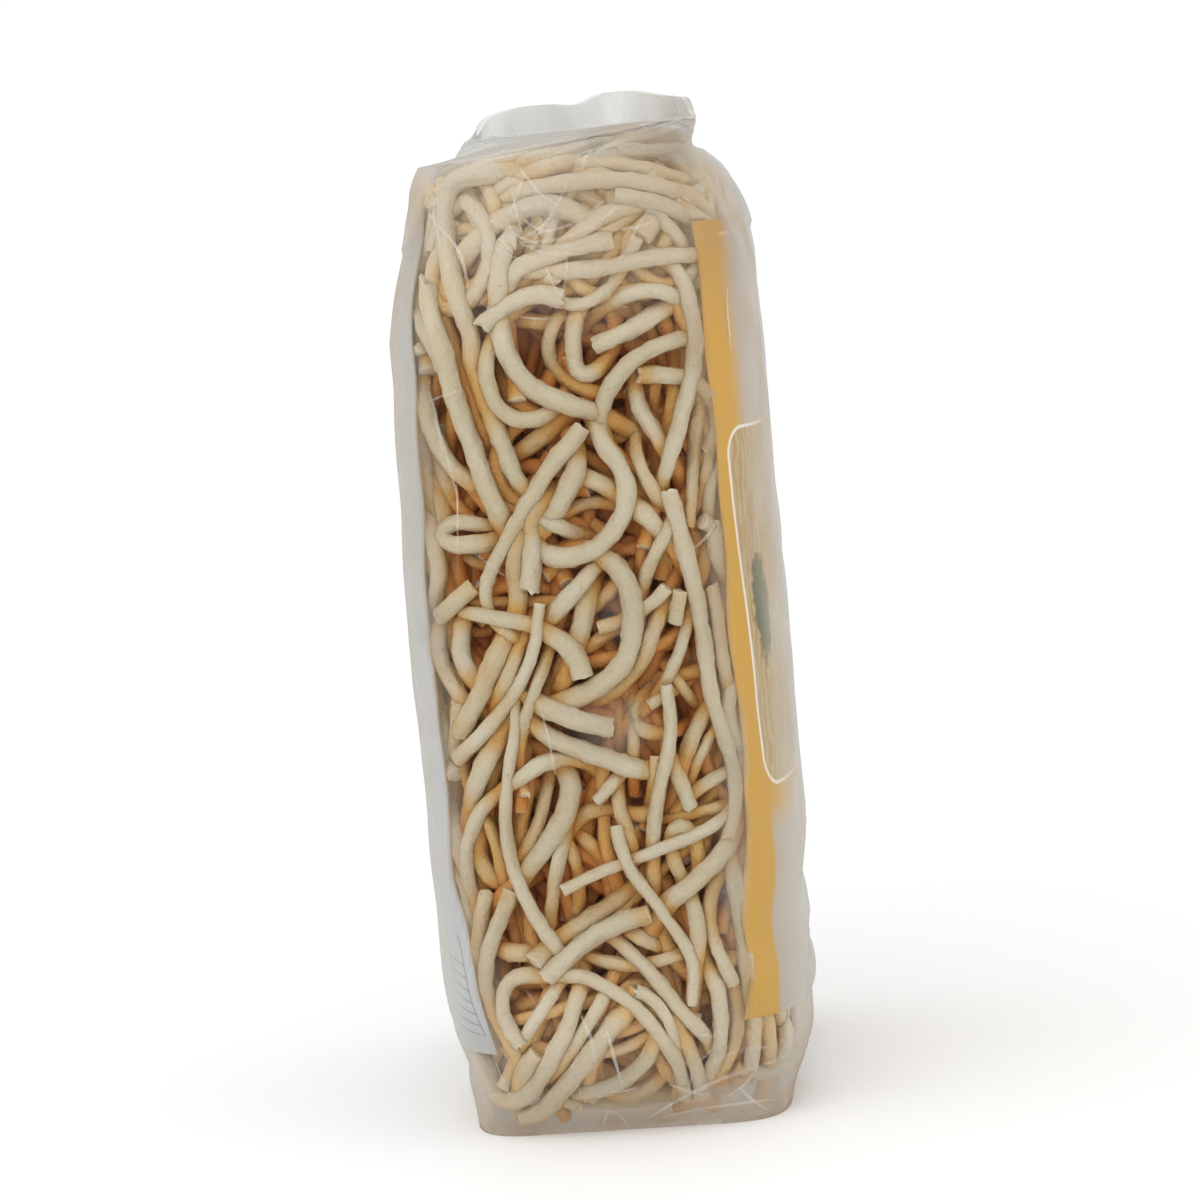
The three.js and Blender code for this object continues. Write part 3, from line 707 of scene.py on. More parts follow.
def beside_card(turn):
    """Millimetres from the nearest upright edge of a card, positive beside it, negative under it."""
    past_front = abs(off_middle(turn, 0)) - FRONT_REACH
    past_back = abs(off_middle(turn, 0.5)) - BACK_REACH
    return min(past_front, past_back) * GIRTH


def within(value, limits):
    return limits[0] < value < limits[1]


def on_bare_side(turn, height):
    near = abs(off_middle(turn, BARE_SIDE)) < BARE_REACH
    return near and beside_card(turn) > 0 and within(height, BARE_LEVELS)


def under_shoulder(turn, height):
    return on_bare_side(turn, height) and height > LIT_LEVEL


def at_card_edge(turn, height):
    near = abs(off_middle(turn, BARE_SIDE)) < EDGE_REACH
    return near and within(beside_card(turn), EDGE_BAND) and within(height, WALL_LEVELS)


def on_other_walls(turn, height):
    in_sight = on_bare_side(turn, height) and beside_card(turn) > HIDDEN_BAND
    return within(height, WALL_LEVELS) and not in_sight and not card_cover(turn, height, CARD_MARGIN)


def wall_strands(region, total, depths, lengths):
    """Strands that wander over a region of the pack's wall, up to a total length."""
    strands = []
    while total > 0:
        start = rng.uniform([0, 8], [GIRTH, 203])
        if not region(start[0] / GIRTH, start[1]):
            continue
        heading = rng.uniform(0, 2 * math.pi)
        line = wander(start, heading, rng.uniform(*lengths), lambda p: region(p[0] / GIRTH, p[1]))
        if len(line) * FAR_STEP < SHORTEST:
            continue
        base, outward = skin(line[:, 0] / GIRTH, line[:, 1])
        first = rng.uniform(*depths)
        last = float(np.clip(first + rng.normal(0, 2), *depths))
        depth = between((first, last), len(line))
        strands.append(laid(base, -outward, strand_thickness(), depth))
        total -= len(line) * FAR_STEP
    return strands


def level_strands(on_top, total):
    """Strands that lie across the top, under the roof of film, or on the folded end."""
    half_x, half_y = half_sizes(SHOULDER_TOP if on_top else FLOOR_LEVEL)
    reach_x, reach_y = float(half_x) - 2, float(half_y) - 3

    def stays(place):
        return abs(place[0] / reach_x) ** 3 + abs(place[1] / reach_y) ** 3 < 1

    strands = []
    while total > 0:
        start = rng.uniform([-reach_x, -reach_y], [reach_x, reach_y])
        if not stays(start):
            continue
        line = wander(start, rng.uniform(0, 2 * math.pi), rng.uniform(*LEVEL_LENGTHS), stays)
        if len(line) * FAR_STEP < SHORTEST:
            continue
        height = roof_height(*line.T) - ROOF_GAP if on_top else np.full(len(line), FLOOR_LEVEL)
        base = np.column_stack([line, height])
        inward = np.tile([0.0, 0.0, -1.0 if on_top else 1.0], (len(line), 1))
        thickness = strand_thickness()
        depth = np.full(len(line), rng.uniform(*LEVEL_DEPTHS))
        strands.append(laid(base, inward, thickness, depth))
        total -= len(line) * FAR_STEP
    return strands


def neighbours(base, inward, owner):
    """Pairs of strand points that lie side by side or over each other, and how far apart."""
    tree = tree_of(base)
    pairs = []
    for i, point in enumerate(base):
        for _, j, _ in tree.find_range(point, COVER_REACH):
            if j > i and (owner[i] != owner[j] or j - i > 9):
                pairs.append((i, j))
    first, second = np.array(pairs).T
    facing = inward[first] + inward[second]
    alike = np.linalg.norm(facing, axis=1) > 1.5
    first, second, facing = first[alike], second[alike], unit(facing[alike])
    apart = base[first] - base[second]
    offset = (apart * facing).sum(1)
    sideways = np.sqrt(np.maximum((apart**2).sum(1) - offset**2, 0))
    return first, second, offset, sideways


def cover(first, second, offset, sideways, depth, spacing):
    """How much other strands cover each point, from 0 to 1."""
    below = depth[first] - depth[second] + offset
    near = np.maximum(0, 1 - sideways / COVER_REACH) / COVER_FULL
    over_first = near * spacing[second] * np.clip(below / 2, 0, 1)
    over_second = near * spacing[first] * np.clip(-below / 2, 0, 1)
    total = np.bincount(first, over_first, len(depth)) + np.bincount(second, over_second, len(depth))
    return np.minimum(total, 1)


def within_walls(points, room):
    """The points' x, held at least that far inside the broad faces' film."""
    half_x, half_y = half_sizes(points[:, 2])
    share = np.clip(np.abs(points[:, 1]) / half_y, 0, 1) ** CORNER_POWER
    reach = half_x * stretch(points[:, 0], points[:, 2]) * (1 - share) ** (1 / CORNER_POWER)
    limit = np.maximum(reach - room, 0)
    return np.clip(points[:, 0], -limit, limit)


def joined(strands, key):
    return np.concatenate([strand[key] for strand in strands])


def lasting_order(owner, first, second, deeper):
    """1 where the first of a pair goes under, else -1. Two strands keep one order all along."""
    meeting = owner[first] * (owner.max() + 1) + owner[second]
    names, which = np.unique(meeting, return_inverse=True)
    total = np.bincount(which, deeper, len(names))
    return np.where(total >= 0, 1.0, -1.0)[which]


def settle(strands):
    """Pushes strands apart along their depth until they lie over and under each other."""
    base, inward = joined(strands, "base"), joined(strands, "inward")
    radius, wanted = joined(strands, "radius"), joined(strands, "depth")
    counts = [len(strand["base"]) for strand in strands]
    level = base[:, 2]
    turns = turn_at(base[:, 0], base[:, 1], level)
    _, outward = skin(turns, level)
    upright = np.abs(inward[:, 2]) > 0.9
    square_on = np.where(upright, 1, np.clip(-(inward * outward).sum(1), 0.4, 1))
    card_foot, card_head = UNDER_CARD_LEVELS
    under_card = (off_cards(turns, level) < 1) & (level > card_foot) & (level < card_head)
    shallowest = (radius + np.where(under_card, CARD_GAP, FILM_GAP)) / square_on
    owner = np.repeat(np.arange(len(strands)), counts)
    around = neighbours(base, inward, owner)
    first, second, offset, sideways = around
    together = radius[first] + radius[second]
    meets = sideways < together
    first, second, offset = first[meets], second[meets], offset[meets]
    need = np.sqrt(together[meets] ** 2 - sideways[meets] ** 2) * CONTACT
    order = lasting_order(owner, first, second, wanted[first] - wanted[second] + offset)
    inner = np.flatnonzero((owner[1:-1] == owner[:-2]) & (owner[1:-1] == owner[2:])) + 1
    depth = wanted.copy()
    for number in range(SETTLE_ROUNDS):
        short = need - order * (depth[first] - depth[second] + offset)
        push = np.maximum(short, 0) * order
        pressed = short > 0
        move = np.bincount(first, push, len(depth)) - np.bincount(second, push, len(depth))
        hits = np.bincount(first, pressed, len(depth)) + np.bincount(second, pressed, len(depth))
        depth = depth + 0.5 * move / np.maximum(hits, 1)
        for _ in range(3 if number < SETTLE_ROUNDS - LAST_ROUNDS else 1):
            depth[inner] += STIFFNESS * ((depth[inner - 1] + depth[inner + 1]) / 2 - depth[inner])
        depth += RETURN * (wanted - depth)
        depth = np.clip(depth, shallowest, DEEPEST)
    steps = [np.linalg.norm(strand["base"][1] - strand["base"][0]) for strand in strands]
    # How much other strands cover each point, for the painted shade; under the roof it is eased, as light
    # falls in there.
    covered = cover(*around, depth, np.repeat(steps, counts))
    covered = covered * (1 - 0.5 * ramp((level - LIT_LEVEL) / LIT_RISE))
    lines = base + inward * depth[:, None]
    lines[:, 0] = within_walls(lines, radius + np.where(under_card, CARD_FACE_GAP, FACE_GAP))
    ends = np.cumsum(counts)[:-1]
    for strand, line, share in zip(strands, np.split(lines, ends), np.split(covered, ends)):
        strand["line"] = line
        strand["cover"] = share
    return strands


# ---- Meshes ----
def new_piece(name, points, faces, material, values=None, uv=None, sharp=None):
    """An object from millimetre points, with smooth faces and values stored on its points."""
    mesh = bpy.data.meshes.new(name)
    mesh.from_pydata((np.asarray(points, float) * MM).tolist(), [], faces)
    mesh.polygons.foreach_set("use_smooth", [True] * len(mesh.polygons))
    for key, numbers in (values or {}).items():
        layer = mesh.attributes.new(key, "FLOAT", "POINT")
        layer.data.foreach_set("value", np.asarray(numbers, np.float32))
    if uv is not None:
        corners = np.empty(len(mesh.loops), int)
        mesh.loops.foreach_get("vertex_index", corners)
        mesh.uv_layers.new(name="flat").data.foreach_set("uv", np.asarray(uv, float)[corners].ravel())
    if sharp is not None:
        mesh.set_sharp_from_angle(angle=math.radians(sharp))
    mesh.update()
    piece = bpy.data.objects.new(name, mesh)
    bpy.context.scene.collection.objects.link(piece)
    mesh.materials.append(material)
    return piece


def grid_faces(rows, columns, closed):
    """Quads of a grid, rows by columns. A closed grid joins its last column to its first."""
    index = np.arange(rows * columns).reshape(rows, columns)
    beside = np.roll(index, -1, 1)
    if not closed:
        index, beside = index[:, :-1], beside[:, :-1]
    return np.stack([index[:-1], beside[:-1], beside[1:], index[1:]], -1).reshape(-1, 4).tolist()


def cross_sections(line, radii, sides):
    """Rings of points round a line, carried along it without a twist and then roughened."""
    along = unit(np.gradient(line, axis=0))
    across = np.cross(along[0], rng.normal(size=3))
    angles = np.arange(sides) / sides * 2 * math.pi
    flatness = rng.uniform(*FLATNESS)
    rings = []
    for place, direction, radius in zip(line, along, radii):
        across = across - direction * (across @ direction)
        across /= np.linalg.norm(across)
        other = np.cross(direction, across)
        ring = np.outer(np.cos(angles) / flatness, across) + np.outer(np.sin(angles) * flatness, other)
        rings.append(place + ring * radius)
    rough = rng.normal(0, ROUGHNESS, (len(line), sides))
    rough = rough + (np.roll(rough, 1, 1) + np.roll(rough, 1, 0)) / 2
    centres = line[:, None]
    return centres + (np.array(rings) - centres) * (1 + rough[..., None])


def with_ends(rings, line, radius):
    """The rings and one more at each end, drawn in and more or less ragged."""
    ragged = radius * rng.choice(RAGGED, p=RAGGED_SHARES)
    rims = []
    for end, before in ((0, 1), (-1, -2)):
        outward = line[end] - line[before]
        outward /= np.linalg.norm(outward)
        rim = rings[end] + outward * rng.normal(0, ragged, rings.shape[1])[:, None]
        rims.append(line[end] + (rim - line[end]) * END_WIDTH + outward * END_LENGTH)
    return np.concatenate([rims[:1], rings, rims[1:]])


def strand_mesh(strand, sides):
    """Points, faces and values of one strand, with its two cut or broken ends."""
    line = strand["line"].copy()
    line[1:-1] = (line[:-2] + 2 * line[1:-1] + line[2:]) / 4
    rings = with_ends(cross_sections(line, strand["radius"], sides), line, strand["radius"][0])
    count = len(rings)
    middles = np.array([rings[0].mean(0), rings[-1].mean(0)])
    points = np.concatenate([rings.reshape(-1, 3), middles])
    index = np.arange(count * sides).reshape(count, sides)
    beside = np.roll(index, -1, 1)
    start, stop = count * sides, count * sides + 1
    faces = grid_faces(count, sides, True)
    faces += [[start, b, a] for a, b in zip(index[0], beside[0])]
    faces += [[stop, a, b] for a, b in zip(index[-1], beside[-1])]
    cut = np.zeros(len(points))
    cut[:sides] = cut[-2 - sides:] = 1
    place = [0, *range(count - 2), count - 3]  # of each ring, along the strand
    # Painted shade on each point: the cover, more on the side that faces the heap, and a fixed share at an
    # end's middle. The depth is stored for the painted shade too.
    outward = -strand["inward"][place]
    spokes = unit(rings - rings.mean(1, keepdims=True))
    turned_in = (1 - (spokes * outward[:, None]).sum(2)) / 2
    shade = strand["cover"][place][:, None] + TURNED_IN_SHADE * turned_in
    shade = np.append(shade.ravel(), [END_SHADE, END_SHADE])
    deep = np.append(np.repeat(strand["depth"][place], sides), [END_DEPTH, END_DEPTH])
    return points, faces, {"cut": cut, "deep": deep, "shade": shade}


def strand_piece(name, strands, sides, material):
    """All the strands of a list in one object."""
    points, faces, values = [], [], {"cut": [], "deep": [], "shade": [], "tone": []}
    start = 0
    for strand in strands:
        places, quads, numbers = strand_mesh(strand, sides)
        numbers["tone"] = np.full(len(places), rng.random())
        points.append(places)
        faces += [[i + start for i in face] for face in quads]
        for key, part in numbers.items():
            values[key].append(part)
        start += len(places)
    values = {key: np.concatenate(parts) for key, parts in values.items()}
    piece = new_piece(name, np.concatenate(points), faces, material, values, sharp=50)
    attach(piece, "root")
    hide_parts("noodle_bag")
    return piece


# ---- Film ----
# How milky the film looks at each height: where it is folded double or crumpled it shows most.
HAZE_BY_HEIGHT = [
    (0, 0.42), (5, 0.3), (14, 0.07), (30, 0.004), (166, 0.004), (176, 0.08), (188, 0.2), (200, 0.26),
    (204, 0.3), (207, 0.36), (210, 0.42), (213, 0.5), (214, 0.56),
]
FAR_FIN_HAZE = 0.12  # how much milkier the fin is at its far end, and clearer at its near end
# How much sooner than elsewhere the film turns milky at a slant, and how tan its milk is.
VEIL_BY_HEIGHT = [(17, 1), (25, 0), (186, 0), (194, 1), (206, 1), (209, 0.3), (213, 0)]
TAN_BY_HEIGHT = [
    (0, 0.65), (12, 0.45), (25, 0.2), (176, 0.6), (190, 0.75), (203, 0.55), (209, 0.22), (213, 0.14),
    (214.5, 0.08),
]
# Milky spots on the bare side: x, height, half width, half height, haze and tan.
FILM_PATCHES = [
    (-7.5, 206.5, 5, 2, 0.55, 1),
    (-4, 201, 7, 3.5, 0.26, 0.3),
    (3, 190.5, 9, 2.5, 0.28, 0.3),
    (13, 212, 8, 3, 0.62, 0.5),
    (23, 209, 7, 3.5, 0.55, 0.4),
    (-13, 186, 4, 5, 0.16, 0.1),
    (8, 112, 5, 6, 0.1, 0.3),
    (4, 88, 8, 7, 0.1, 0.4),
]
# The lower edge of the clear film on the bare side, as x and height: under it the film is folded.
FOOT_FOLD = [(-40, 5), (-20, 3.5), (3, 2), (6, 3.3), (15.5, 8.5), (22.5, 11), (31, 12.5), (40, 14)]
FOLD_HAZE = 0.42
BARE_SIDE_FRONT = (-30, -55)  # from the first y to the second, the bare side's haze comes in
GAP_HAZE = 0.36  # beside a card, where the film stands off
GAP_TAN = 0.9
GAP_REACH = 4.5
GAP_ENDS = (12, 207)
FILM_CLEARANCE = 0.5  # between the film and the strands that push it out
PRESS_REACH = 3.2  # how far from the film a strand's middle can lie and still push
FILM_COLUMNS = 320
FILM_STEP = SHOULDER_TOP / 122
ROOF_ROWS = 10
FIN_ROWS = 7


def pleats(count):
    """Uneven waves, in and out, round a closed ring of points."""
    waves = rng.normal(0, 1, count)
    for _ in range(2):
        waves = (np.roll(waves, 1) + waves + np.roll(waves, -1)) / 3
    return waves / waves.std()


def foot_sway(y):
    """What brings the fin's crest back from its foot, which lies further over at both ends."""
    return np.where(y < 0, *FIN_FOOT_SWAY) * np.clip(y / FIN_HALF_WIDTH, -1, 1) ** 3


def roof(turns):
    """Rows of the gathered roof and of the limp fin on it, and how far their points are pleated."""
    angle = angle_of_turn(turns)
    foot_x, foot_y = half_sizes(SHOULDER_TOP)
    gathered = pleats(FILM_COLUMNS)
    rows, folds = [], []
    for i, share in enumerate(np.linspace(0, 1, ROOF_ROWS + 1)[1:]):
        half_x = foot_x + (FIN_HALF_THICKNESS - foot_x) * share
        half_y = foot_y + (FIN_HALF_WIDTH - foot_y) * share
        x, y = outline(angle, half_x, half_y)
        x = x * (1 + (stretch(x, SHOULDER_TOP) - 1) * (1 - share))
        fold = np.roll(gathered, PLEAT_SLANT * i) * math.sin(share * math.pi)
        height = SHOULDER_TOP + (FIN_BASE - SHOULDER_TOP) * math.sin(share * math.pi / 2)
        bulge = ROOF_BULGE * math.sin(share * math.pi) * y / FIN_HALF_WIDTH
        x = x + share * (fin_sway(y) - foot_sway(y)) - bulge
        rows.append(np.stack([x, y, height + PLEAT * fold], -1))
        folds.append(fold)
    top = rows[-1]
    limp = np.interp(y, np.linspace(-FIN_HALF_WIDTH, FIN_HALF_WIDTH, FIN_PLEATS), pleats(FIN_PLEATS))
    limp = limp * ramp((FIN_HALF_WIDTH - np.abs(y)) / 12)
    for share in np.linspace(0, 1, FIN_ROWS + 1)[1:]:
        row = top.copy()
        row[:, 0] += share * foot_sway(y) + PLEAT / 2 * ramp(2 * share) * limp
        row[:, 2] += share * (fin_crest(top[:, 1]) - FIN_BASE)
        rows.append(row)
        folds.append(limp)
    return np.array(rows), np.array(folds)


def press_out(points, outward, strands):
    """Moves the film out to where the strands under it push it."""
    tree = tree_of(joined(strands, "line"))
    radii = joined(strands, "radius") + FILM_CLEARANCE
    flat = points.reshape(-1, 3)
    push = np.zeros(len(flat))
    for k, (point, direction) in enumerate(zip(flat, outward.reshape(-1, 3))):
        for centre, i, _ in tree.find_range(point, PRESS_REACH):
            away = point - np.array(centre)
            along = away @ direction
            beside = away @ away - along * along
            room = radii[i] ** 2 - beside
            if room > 0:
                push[k] = max(push[k], math.sqrt(room) - along)
    return push.reshape(points.shape[:2])


def spread(field):
    """Each value raised to the highest one beside it."""
    field = np.maximum(field, np.maximum(np.roll(field, 1, 1), np.roll(field, -1, 1)))
    field[1:-1] = np.maximum(field[1:-1], np.maximum(field[:-2], field[2:]))
    return field


def smoothed(field, rounds):
    """Each value drawn towards those beside it."""
    for _ in range(rounds):
        field = (field + np.roll(field, 1, 1) + np.roll(field, -1, 1)) / 3
        field[1:-1] = (field[:-2] + field[1:-1] + field[2:]) / 3
    return field


# Creases on the bare side: height of the ridge, its width, and its points as x and height.
SIDE_CREASES = [
    (0.4, 0.8, [(-7, 205.5), (-5, 202.7), (-3, 199.9), (0.6, 197.4)]),
    (0.3, 0.6, [(-9, 202), (-8.5, 198), (-7.4, 192)]),
    (0.3, 0.6, [(1.3, 189), (1.4, 184), (0.5, 179.2)]),
    (0.4, 0.7, [(-3, 185), (-1.6, 181), (-0.1, 178.7), (2, 176.6), (3.2, 174.7)]),
    (0.4, 0.8, [(18, 193.8), (16, 190.8), (13.4, 186.5), (10.9, 182.8), (9.5, 179.7), (9.6, 177.8),
        (10.7, 175.8), (13.4, 175.3)]),
    (0.4, 0.8, [(-27.3, 197.8), (-24, 193.5), (-20.8, 189), (-19.6, 183), (-19.5, 180.3)]),
    (0.3, 0.6, [(-9, 174.9), (-5, 174.2), (0, 174.1), (4, 174.2), (7, 175.4)]),
    (0.35, 0.7, [(-8, 190.3), (-1, 190.3), (4, 191.5), (9, 193.5), (13, 196.5)]),
    (0.3, 0.6, [(-7, 189.6), (1, 188.8), (7, 190.2), (12, 192.6)]),
    (0.3, 0.6, [(-6, 191.6), (2, 193), (6, 194.8), (10, 197.6)]),
    (0.3, 0.6, [(-8, 191), (-3, 193.5), (1, 197)]),
    (0.3, 0.6, [(-8, 190), (-2, 187.6), (6, 186.9)]),
    (0.3, 0.6, [(-29, 155), (-27.4, 149.5), (-26.3, 143), (-25.4, 138), (-25.7, 133.5)]),
    (0.25, 0.5, [(-25.3, 141), (-25.8, 131), (-26.2, 121)]),
    (0.25, 0.5, [(-30.5, 158.3), (-25, 160), (-21.3, 160.5)]),
    (0.3, 0.6, [(-18.5, 33), (-17.3, 31), (-16.5, 29)]),
    (0.5, 1, [(3, 1.5), (6, 3.3), (15.5, 8.5), (22.5, 11), (31, 12.5), (36, 13)]),
    (0.5, 0.9, [(-5, 1.5), (-3.6, 5), (-1, 3), (0, 1)]),
    (0.4, 0.8, [(8, 2.5), (16, 4), (26, 4.3), (31, 3.4)]),
    (0.4, 0.8, [(24, 8.5), (26.5, 4.5), (28.5, 1.8)]),
    (0.4, 0.8, [(20, 15), (26, 16.5), (33, 16)]),
]
LOOSE_CREASES = 210  # scattered over the rest of the film
# The share of them at the foot, under the shoulder, on the roof and fin, and on the wall, and from
# which height to which. Heights over the wall's go on over the roof in steps of the film's rows.
CREASE_SHARES = (0.33, 0.23, 0.38, 0.06)
CREASE_LEVELS = ((1, 22), (186, 207), (208, 235), (25, 185))
STEEP_SHARE = 0.6  # of creases that run up rather than any way
CREASE_LENGTHS = (5, 17)
CREASE_HEIGHTS = (0.15, 0.4)
CREASE_WIDTHS = (0.4, 0.9)
CREASE_STEP = 1.2
CREASE_SUNK = 0.05  # how far the foot of a crease lies under the film


def normals(grid):
    """Outward directions of a grid of points that is closed round its columns."""
    round_way = np.roll(grid, -1, 1) - np.roll(grid, 1, 1)
    up_way = np.gradient(grid, axis=0)
    return unit(np.cross(round_way, up_way))


def on_grid(grid, spots):
    """Values of a grid, closed round its columns, at spots given as column and row."""
    column = np.mod(spots[:, 0], grid.shape[1])
    row = np.clip(spots[:, 1], 0, grid.shape[0] - 1.001)
    left, below = column.astype(int), row.astype(int)
    right = (left + 1) % grid.shape[1]
    across, up = (column - left)[:, None], (row - below)[:, None]
    low = grid[below, left] * (1 - across) + grid[below, right] * across
    high = grid[below + 1, left] * (1 - across) + grid[below + 1, right] * across
    return low * (1 - up) + high * up


def loose_creases():
    """Short random creases, as height, width and three points of turn and row."""
    creases = []
    for _ in range(LOOSE_CREASES):
        zone = rng.choice(len(CREASE_LEVELS), p=CREASE_SHARES)
        start = np.array([rng.uniform(0, GIRTH), rng.uniform(*CREASE_LEVELS[zone])])
        steep = rng.random() < STEEP_SHARE
        heading = rng.normal(math.pi / 2, 0.7) if steep else rng.uniform(0, math.pi)
        length = rng.uniform(*CREASE_LENGTHS)
        end = start + toward(heading, length)
        middle = start + toward(heading, length) / 2 + rng.normal(0, length / 9, 2)
        line = [start, middle, end]
        creases.append((rng.uniform(*CREASE_HEIGHTS), rng.uniform(*CREASE_WIDTHS), line))
    return creases


def crease_piece(grid):
    """Sharp low ridges that stand on the film, which is a grid of points."""
    outward = normals(grid)
    lines = []
    for height, width, line in SIDE_CREASES:
        x, level = np.array(line, float).T
        turns = turn_at(x, near_side(x, level), level)
        lines.append((height, width, np.column_stack([turns * GIRTH, level])))
    lines += loose_creases()
    points, faces, start = [], [], 0
    for height, width, line in lines:
        line = spline(line, CREASE_STEP)
        spots = np.column_stack([line[:, 0] / GIRTH * FILM_COLUMNS, line[:, 1] / FILM_STEP])
        place, out = on_grid(grid, spots), on_grid(outward, spots)
        along = np.gradient(place, axis=0)
        side = unit(np.cross(out, along))
        size = np.sin(np.linspace(0.12, math.pi - 0.12, len(line)))[:, None] ** 0.5
        feet = side * size * width / 2
        crest = place + out * (0.1 + 0.3 * height) * size
        rows = [place + feet - out * CREASE_SUNK, crest, place - feet - out * CREASE_SUNK]
        points.append(np.stack(rows, 1).reshape(-1, 3))
        for i in range(len(line) - 1):
            a = start + 3 * i
            faces += [[a, a + 1, a + 4, a + 3], [a + 1, a + 2, a + 5, a + 4]]
        start += 3 * len(line)
    points = np.concatenate(points)
    piece = new_piece("film_creases", points, faces, crease_material())
    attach(piece, "root")
    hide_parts("noodle_bag")


def beside_cards(turns, levels):
    """1 along the upright edges of the cards, falling to 0 a few millimetres beside them."""
    gap = off_cards(turns, levels)
    near = np.exp(-((np.maximum(gap, 0) / GAP_REACH) ** 2)) * ramp(gap / 0.8 + 1)
    low, high = GAP_ENDS
    return near * ramp((levels - low) / 8) * ramp((high - levels) / 8)


def bare_side_haze(grid):
    """Haze and tan of the folded and crumpled spots that face the camera's side."""
    x, y, height = np.moveaxis(grid, -1, 0)
    start, full = BARE_SIDE_FRONT
    near = ramp((start - y) / (start - full))
    haze = FOLD_HAZE * near * ramp((read(FOOT_FOLD, x) - height) / 1.5)
    tan = np.zeros_like(haze)
    for spot_x, spot_height, half_x, half_height, milky, brown in FILM_PATCHES:
        away = ((x - spot_x) / half_x) ** 2 + ((height - spot_height) / half_height) ** 2
        spot = near * np.exp(-(away**2))
        haze = np.maximum(haze, milky * spot)
        tan = np.maximum(tan, brown * spot)
    return haze, tan


def film_wall(strands, turns, heights):
    """The film round the pack, pushed out by the strands, with the corners of the folded end."""
    wall, outward = skin(turns[None, :], heights[:, None])
    pressed = spread(np.maximum(press_out(wall, outward, strands), 0))
    push = smoothed(pressed, 3) * ramp(heights / 4)[:, None]
    wall = wall + outward * push[..., None]
    low = np.clip(1 - heights / FOOT_CORNER_RISE, 0, 1) ** 2
    corner = np.sin(2 * angle_of_turn(turns)) ** 2 * low[:, None]
    wall[..., :2] *= 1 + FOOT_CORNER * corner[..., None]
    return wall


def foot_faces():
    """A strip that closes the folded end, between columns that face each other across X."""
    quarter = FILM_COLUMNS // 4
    faces = []
    for step in range(2 * quarter):
        right = (quarter - step) % FILM_COLUMNS
        left = quarter + step
        strip = [left, right, (right - 1) % FILM_COLUMNS, (left + 1) % FILM_COLUMNS]
        faces.append(list(dict.fromkeys(strip)))
    return faces


def film_values(grid, turns, heights, folds):
    """How hazy, how veiled at grazing angles and how tan the film is at each of its points."""
    roof_levels = np.linspace(SHOULDER_TOP, FIN_BASE, ROOF_ROWS + 1)[1:]
    level = np.concatenate([heights, roof_levels, np.full(FIN_ROWS, FIN_BASE + 1)])
    even = np.ones((len(heights), FILM_COLUMNS))
    milky = np.concatenate([even, np.clip(1 + PLEAT_HAZE * folds, 0.6, 1.5)])
    haze, veil, tan = (read(t, level)[:, None] for t in (HAZE_BY_HEIGHT, VEIL_BY_HEIGHT, TAN_BY_HEIGHT))
    gap = beside_cards(turns[None, :], level[:, None])
    near_half = ramp(-np.sin(2 * math.pi * turns) * 2)[None, :]
    spots, brown = bare_side_haze(grid)
    along_fin = grid[..., 1] / FIN_HALF_WIDTH * (level > FIN_BASE)[:, None]
    haze = np.maximum(haze, GAP_HAZE * gap) * milky + FAR_FIN_HAZE * along_fin
    tan = np.maximum(np.maximum(tan * near_half, brown), GAP_TAN * gap)
    return {
        "haze": np.maximum(haze, spots).ravel(),
        "veil": np.broadcast_to(veil, gap.shape).ravel(),
        "tan": tan.ravel(),
    }


def film_pieces(strands, material):
    """The pack's skin of film, and the creases in it."""
    turns = np.arange(FILM_COLUMNS) / FILM_COLUMNS
    heights = np.arange(0, SHOULDER_TOP + 0.1, FILM_STEP)
    wall = film_wall(strands, turns, heights)
    top, folds = roof(turns)
    grid = np.concatenate([wall, top])
    faces = grid_faces(len(grid), FILM_COLUMNS, True) + foot_faces()
    values = film_values(grid, turns, heights, folds)
    piece = new_piece("film", grid.reshape(-1, 3), faces, material, values)
    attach(piece, "root")
    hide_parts("noodle_bag")
    crease_piece(grid)


# ---- Cards ----
CARD_INSET = 0.35
CARD_THICKNESS = 0.35
CARD_CELL = 2.2


def card_piece(side, middle, material):
    """A card bent round the pack just under the film. Its flat coordinates are in millimetres."""
    low, high = CARD_ENDS[side]
    heights = np.linspace(low, high, round((high - low) / CARD_CELL) + 1)
    half = half_card(side, heights)
    columns = 2 * round(half.mean() / CARD_CELL) + 1
    across = half[:, None] * np.linspace(-1, 1, columns)
    turns = middle + across / GIRTH
    insets = (CARD_INSET, CARD_INSET + CARD_THICKNESS)
    sheets = [skin(turns, heights[:, None], inset)[0] for inset in insets]
    points = np.concatenate([s.reshape(-1, 3) for s in sheets])
    front = grid_faces(len(heights), columns, False)
    faces = front + [[i + across.size for i in reversed(face)] for face in front]
    index = np.arange(across.size).reshape(across.shape)
    rim = [*index[0, :-1], *index[:-1, -1], *index[-1, :0:-1], *index[:0:-1, 0]]
    for a, b in zip(rim, rim[1:] + rim[:1]):
        faces.append([int(b), int(a), int(a) + across.size, int(b) + across.size])
    up = np.broadcast_to(heights[:, None], across.shape)
    uv = np.tile(np.stack([across.ravel(), up.ravel()], -1), (2, 1))
    piece = new_piece(f"{side}_card_print", points, faces, material, uv=uv, sharp=60)
    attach(piece, "root")
    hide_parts(f"{side}_card")


# ---- Core ----
CORE_DEPTH = 15  # under the skin, where it shows between the strands
CORE_DEPTH_HIDDEN = 6  # behind the cards
CORE_COLUMNS = 120
CORE_ROWS = 86
CORE_FOOT = FLOOR_LEVEL + 6
CORE_HEAD = SHOULDER_TOP - 7
CORE_ENDS_DRAWN = 8  # how far its upper and lower edges are drawn in
CORE_RIDGES = 1.3  # how far it swells in and out


